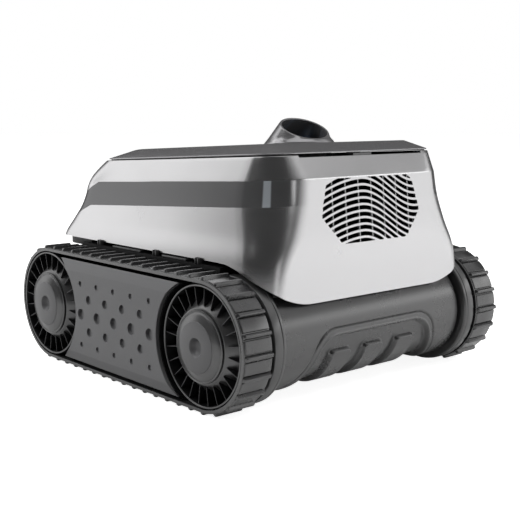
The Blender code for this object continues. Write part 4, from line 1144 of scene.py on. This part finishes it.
def make_wheels():
    """Wheels with a thin rim, a conical hub and radial fins, and their domed hub caps."""
    face = WHEEL_OUTER_X
    rim = soften_profile([
        (WHEEL_RADIUS - WHEEL_CHAMFER, face), (WHEEL_RADIUS, face - WHEEL_CHAMFER),
        (WHEEL_RADIUS, WHEEL_INNER_X), (RIM_BORE, WHEEL_INNER_X), (RIM_BORE, WEB_X - WEB_THICK),
        (WHEEL_SHAFT, WEB_X - WEB_THICK), (WHEEL_SHAFT, HUB_EDGE[0][1]), *HUB_EDGE, *HUB_CONE,
        (RIM_FOOT, WEB_X), (RIM_BORE, face - WHEEL_CHAMFER), (RIM_MOUTH, face)], PROFILE_ROUND, 2)
    cap = [(radius, HUB_CAP_FACE_X - depth) for radius, depth in CAP_PROFILE]
    cap += [(CAP_PROFILE[-1][0], CAP_FOOT), (0.0, CAP_FOOT)]
    for tag, side, y in wheel_corners():
        body = f"wheel_{tag}"
        wheel = turned(f"wheel_{tag}", rim, y, side, closed=True)
        piece(wheel, ("black_plastic", "dark_satin"), body, (f"track_wheel_{tag}",))
        choose_finish(wheel, on_cone_or_rim)
        make_fins(tag, body, y, side)
        hub = turned(f"hub_{tag}", cap, y, side)
        piece(hub, ("hub_grey", "dark_satin"), body, (f"hub_cap_{tag}",))
        choose_finish(hub, lambda polygon: axle_distance(polygon) > CAP_FACE)


def on_cone_or_rim(polygon):
    x = abs(polygon.center.x)
    radius = axle_distance(polygon)
    on_cone = CONE_RADII[0] < radius < CONE_RADII[1] and x > CONE_X
    return on_cone or (radius > RIM_EDGE[0] and x > RIM_EDGE[1])


def make_fins(tag, body, y, side):
    """Thin radial fins from the hub's cone to the rim."""
    bm = bmesh.new()
    for i in range(FINS):
        turn = Matrix.Rotation(2 * math.pi * (i + FIN_PHASE) / FINS, 4, "X")
        rings = []
        for offset in (-FIN_HALF, FIN_HALF):
            ring = [turn @ Vector((x * side, radius, offset)) for radius, x in FIN_OUTLINE]
            rings.append([p + Vector((0, y, AXLE_Z)) for p in ring])
        skin(bm, rings, capped=True)
    fins = to_object(f"fins_{tag}", bm)
    piece(fins, ("fin_dark", "black_plastic"), body)
    # The fins' thin edges take a lighter finish than their black faces: a painted highlight
    choose_finish(fins, lambda polygon: len(polygon.vertices) > 4)


def dimple_cutters(side):
    """Round pits in a side cover, slightly wider at the mouth."""
    bm = bmesh.new()
    turn = Matrix.Rotation(side * math.pi / 2, 4, "Y")
    for z, number, diameter, depth in DIMPLE_ROWS:
        for i in range(number):
            length = depth * DIMPLE_DEEPER + DIMPLE_PROUD
            place = ((COVER_HIGH.x + DIMPLE_PROUD - length / 2) * side,
                     (i - (number - 1) / 2) * DIMPLE_PITCH, z)
            radii = (diameter * DIMPLE_FLOOR, diameter * DIMPLE_MOUTH)
            add_cone(bm, place, turn, radii, length, 36)
    return to_object("dimples", bm)


def make_side_covers():
    """Plates between the wheels: bevelled long edges, round cut-outs and rows of dimples."""
    back, face = COVER_LOW.x, COVER_HIGH.x
    edge = back + COVER_EDGE
    low, high = COVER_LOW.z, COVER_HIGH.z
    outline = soften_profile([
        (back, low), (edge, low), (face, low + COVER_BEVELS[0]), (face, high - COVER_BEVELS[1]),
        (edge, high), (back, high)], COVER_ROUND)
    for side in (-1, 1):
        name = side_name(side)
        ends = [[Vector((x * side, y, z)) for x, z in outline] for y in COVER_STATIONS]
        cover = skinned(f"cover_{name}", ends, capped=True)
        rounds = [turned("round", CUT_PROFILE, y, side, steps=CUT_STEPS) for y in (-AXLE_Y, AXLE_Y)]
        carve(cover, *rounds, dimple_cutters(side))
        piece(cover, ("cover_grain",), "root", (f"side_cover_{name}",))


def make_front_skirt():
    """A black band of the chassis under the hood's front edge, round both front corners."""
    rise = Vector((0, 0, SKIRT_HIGH - SKIRT_LOW))
    rows = [[a, a + rise, b + rise, b] for a, b in zip(plan(SKIRT_OUTER), plan(SKIRT_INNER))
            if a.y > SKIRT_START]
    skirt = skinned("chassis_skirt", rows, capped=True)
    piece(skirt, ("black_plastic",), "root")


def make_chassis_tabs():
    """Small ribs and ledges on the chassis, in the gap between the hood's edge and the belt."""
    for side in (-1, 1):
        low, high = sorted(x * side for x in TAB_X)
        spans = [((low, y + offset - TAB_HALF, TAB_Z[0]), (high, y + offset + TAB_HALF, TAB_Z[1]))
                 for y in TAB_PLACES for offset in (-TAB_OFFSET, TAB_OFFSET)]
        low, high = sorted(x * side for x in LEDGE_X)
        spans += [((low, y0, LEDGE_Z[0]), (high, y1, LEDGE_Z[1])) for y0, y1 in LEDGE_SPANS]
        tabs = rounded_boxes(f"chassis_tabs_{side_name(side)}", spans, TAB_ROUND)
        piece(tabs, ("dark_satin",), "root")


# ---------------- brush, basket and controls

def make_brush():
    """Rubber sleeve with ten rows of separate blades."""
    root = BLADE_PROFILE[0][0]
    sleeve = soften_profile([
        (BRUSH_BORE, -BRUSH_HALF), (root, -BRUSH_HALF), (SLEEVE, -BRUSH_HALF + SLEEVE_CHAMFER),
        (SLEEVE, BRUSH_HALF - SLEEVE_CHAMFER), (root, BRUSH_HALF), (BRUSH_BORE, BRUSH_HALF)],
        PROFILE_ROUND)
    bm = bmesh.new()
    lathe(bm, sleeve, AXLE_Y, 1, closed=True)
    pitch = 2 * BRUSH_HALF / BLADES
    for i in range(BLADE_ROWS):
        turn = Matrix.Rotation(2 * math.pi * i / BLADE_ROWS, 4, "X")
        for j in range(BLADES):
            x0 = -BRUSH_HALF + j * pitch + BLADE_GAP
            x1 = x0 + pitch - 2 * BLADE_GAP
            rings = []
            for radius, half, inset in BLADE_PROFILE:
                ring = [Vector((x0 + inset, radius, -half)), Vector((x1 - inset, radius, -half)),
                        Vector((x1 - inset, radius, half)), Vector((x0 + inset, radius, half))]
                rings.append([turn @ p + Vector((0, AXLE_Y, AXLE_Z)) for p in ring])
            skin(bm, rings, capped=True)
    piece(to_object("brush_blades", bm), ("blue_rubber",), "brush", ("brush_sleeve",))


def make_basket():
    """Filter basket: a moulded frame with thin mesh panels between its posts."""
    low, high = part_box("filter_basket")
    end_x, end_y = high.x - POST, high.y - POST
    middle_y = (low.y + high.y - POST) / 2
    posts = [((x, y, low.z), (x + POST, y + POST, high.z))
             for x in (low.x, -POST / 2, end_x) for y in (low.y, end_y)]
    posts += [((x, middle_y, low.z), (x + POST, (low.y + high.y + POST) / 2, high.z))
              for x in (low.x, end_x)]
    for z in (low.z, low.z + RAIL_RISE, high.z - POST):
        posts += [((low.x, y, z), (high.x, y + POST, z + POST)) for y in (low.y, end_y)]
        posts += [((x, low.y, z), (x + POST, high.y, z + POST)) for x in (low.x, end_x)]
    basket = rounded_boxes("basket_frame", posts, POST_ROUND)
    piece(basket, ("black_plastic",), "root", ("filter_basket",))
    a = low + Vector((MESH_INSET,) * 3)
    b = high - Vector((MESH_INSET, MESH_INSET, MESH_TOP_INSET))
    top = a.z + MESH_WALL
    (hole_x0, hole_y0), (hole_x1, hole_y1) = FLOOR_HOLE
    panels = [((a.x, a.y, a.z), (a.x + MESH_WALL, b.y, b.z)),
              ((b.x - MESH_WALL, a.y, a.z), (b.x, b.y, b.z)),
              ((a.x, a.y, a.z), (b.x, a.y + MESH_WALL, b.z)),
              ((a.x, b.y - MESH_WALL, a.z), (b.x, b.y, b.z)),
              ((a.x, a.y, a.z), (b.x, hole_y0, top)), ((a.x, hole_y1, a.z), (b.x, b.y, top)),
              ((a.x, hole_y0, a.z), (hole_x0, hole_y1, top)),
              ((hole_x1, hole_y0, a.z), (b.x, hole_y1, top))]
    mesh = rounded_boxes("basket_mesh", panels, MESH_ROUND)
    piece(mesh, ("filter_fabric",), "root")


def finish_carried_parts():
    """Every CAD part that keeps its shape takes its slot's procedural material."""
    slots = {part["node"]: part["material_slot"] for part in frame["record"]["subparts"]}
    for name, obj in frame["nodes"].items():
        obj.data.materials.clear()
        obj.data.materials.append(FINISH[slots[name]])


# ---------------- stage, lights and camera

def make_floor():
    """A pale sheet that is white in the picture, and dimmer in what the cleaner reflects."""
    bm = bmesh.new()
    bmesh.ops.create_circle(bm, cap_ends=True, segments=96, radius=FLOOR_RADIUS)
    floor = to_object("floor", bm)
    floor.location.z = FLOOR_DROP
    mat = surface("floor_paper", PAPER, 0.9, patches=0.004, patch_scale=2.0, grain=0.0,
                  specular=0.1)
    tree = mat.node_tree
    glow = tree.nodes["Principled BSDF"].inputs
    glow["Emission Color"].default_value = WHITE
    rays = tree.nodes.new("ShaderNodeLightPath").outputs
    seen = map_range(tree, rays["Is Camera Ray"], 0.0, 1.0, 0.0, PAPER_GLOW)
    mirrored = map_range(tree, rays["Is Glossy Ray"], 0.0, 1.0, 0.0, PAPER_MIRROR_GLOW)
    tree.links.new(math_step(tree, "ADD", seen, mirrored), glow["Emission Strength"])
    bounce = mix_colour(tree, rays["Is Glossy Ray"], PAPER_DIM, PAPER)
    paper = mix_colour(tree, rays["Is Camera Ray"], bounce, base_socket(mat).links[0].from_socket)
    tree.links.new(paper, base_socket(mat))
    floor.data.materials.append(mat)


def sky_direction(azimuth, elevation):
    """Direction from the cleaner, in degrees. Azimuth 0 is behind it (-Y), 90 at its right."""
    a, e = math.radians(azimuth), math.radians(elevation)
    return Vector((math.sin(a) * math.cos(e), -math.cos(a) * math.cos(e), math.sin(e)))


def make_light(name, azimuth, elevation, distance, size, radiance, glossy=True):
    """A soft panel that faces the cleaner."""
    light = bpy.data.lights.new(name, "AREA")
    light.shape = "RECTANGLE"
    light.size, light.size_y = size
    light.energy = math.pi * size[0] * size[1] * radiance
    obj = add_object(name, light)
    out = sky_direction(azimuth, elevation)
    obj.location = out * distance + Vector((0, 0, TARGET_HEIGHT))
    obj.rotation_mode = "QUATERNION"
    obj.rotation_quaternion = out.to_track_quat("Z", "Y")
    obj.visible_camera = False
    obj.visible_glossy = glossy


def make_panel(name, start, end, elevation, height, radiance, soft_start=0.0, soft_end=0.0,
               steps=5):
    """A wide panel between two azimuths. It fades out towards its ends, as nested panels."""
    for k in range(steps):
        inward = (k + 0.5) / steps
        low = start + soft_start * inward
        high = end - soft_end * inward
        width = 2 * PANEL_DISTANCE * math.tan(math.radians(high - low) / 2)
        make_light(f"{name}_{k}", (low + high) / 2, elevation, PANEL_DISTANCE, (width, height),
                   radiance / steps)


def make_lights():
    make_panel("panel_left", -182, -137, 16, 2.6, 1.12, soft_start=26, soft_end=6)
    make_panel("panel_rear", 4, 84, 4, 1.7, 0.89, soft_start=30)
    make_panel("panel_rear_high", 0, 90, 47, 0.9, 0.52, soft_start=36)
    make_light("panel_top", 30, 85, PANEL_DISTANCE, (2.2, 2.2), 0.80)
    make_light("strip_tube", 46, 20, PANEL_DISTANCE, (2.4, 0.50), 1.0)
    make_panel("strip_band", 16, 76, 34, 0.70, 0.32, soft_start=24)
    make_light("panel_over", -139, 50, PANEL_DISTANCE, (2.4, 0.9), 1.2)
    make_light("strip_corner", -8, 4, PANEL_DISTANCE, (0.52, 1.3), 0.62)
    make_light("fill_left", -112, 38, FILL_DISTANCE, FILL_SIZE, 3.6, glossy=False)
    make_light("fill_rear", 35, 58, FILL_DISTANCE, FILL_SIZE, 3.6, glossy=False)


def make_world():
    """White where the camera looks past the cleaner, nearly dark in what it reflects."""
    world = bpy.data.worlds.new("studio")
    bpy.context.scene.world = world
    world.use_nodes = True
    tree = world.node_tree
    background = tree.nodes["Background"]
    rays = tree.nodes.new("ShaderNodeLightPath").outputs
    seen = map_range(tree, rays["Is Camera Ray"], 0.0, 1.0, WORLD_PLAIN, 1.0)
    spread = map_range(tree, rays["Is Diffuse Ray"], 0.0, 1.0, 0.0, WORLD_DIFFUSE)
    background.inputs["Color"].default_value = WHITE
    tree.links.new(math_step(tree, "ADD", seen, spread), background.inputs["Strength"])


def make_camera():
    data = bpy.data.cameras.new("camera")
    data.lens = LENS
    data.sensor_width = SENSOR_WIDTH
    data.clip_start, data.clip_end = CAMERA_CLIP
    camera = add_object("camera", data)
    camera.location = CAMERA_PLACE
    camera.rotation_mode = "QUATERNION"
    look = -sky_direction(CAMERA_AZIMUTH, CAMERA_ELEVATION)
    camera.rotation_quaternion = look.to_track_quat("-Z", "Y")
    bpy.context.scene.camera = camera
    bpy.context.scene.view_settings.view_transform = "Standard"


finish_carried_parts()
make_hood()
make_vent_bars()
make_lid()
make_nozzle()
make_rear_tube()
make_end_rings()
make_belts()
make_wheels()
make_side_covers()
make_chassis_tabs()
make_front_skirt()
make_brush()
make_basket()
make_floor()
make_lights()
make_world()
make_camera()
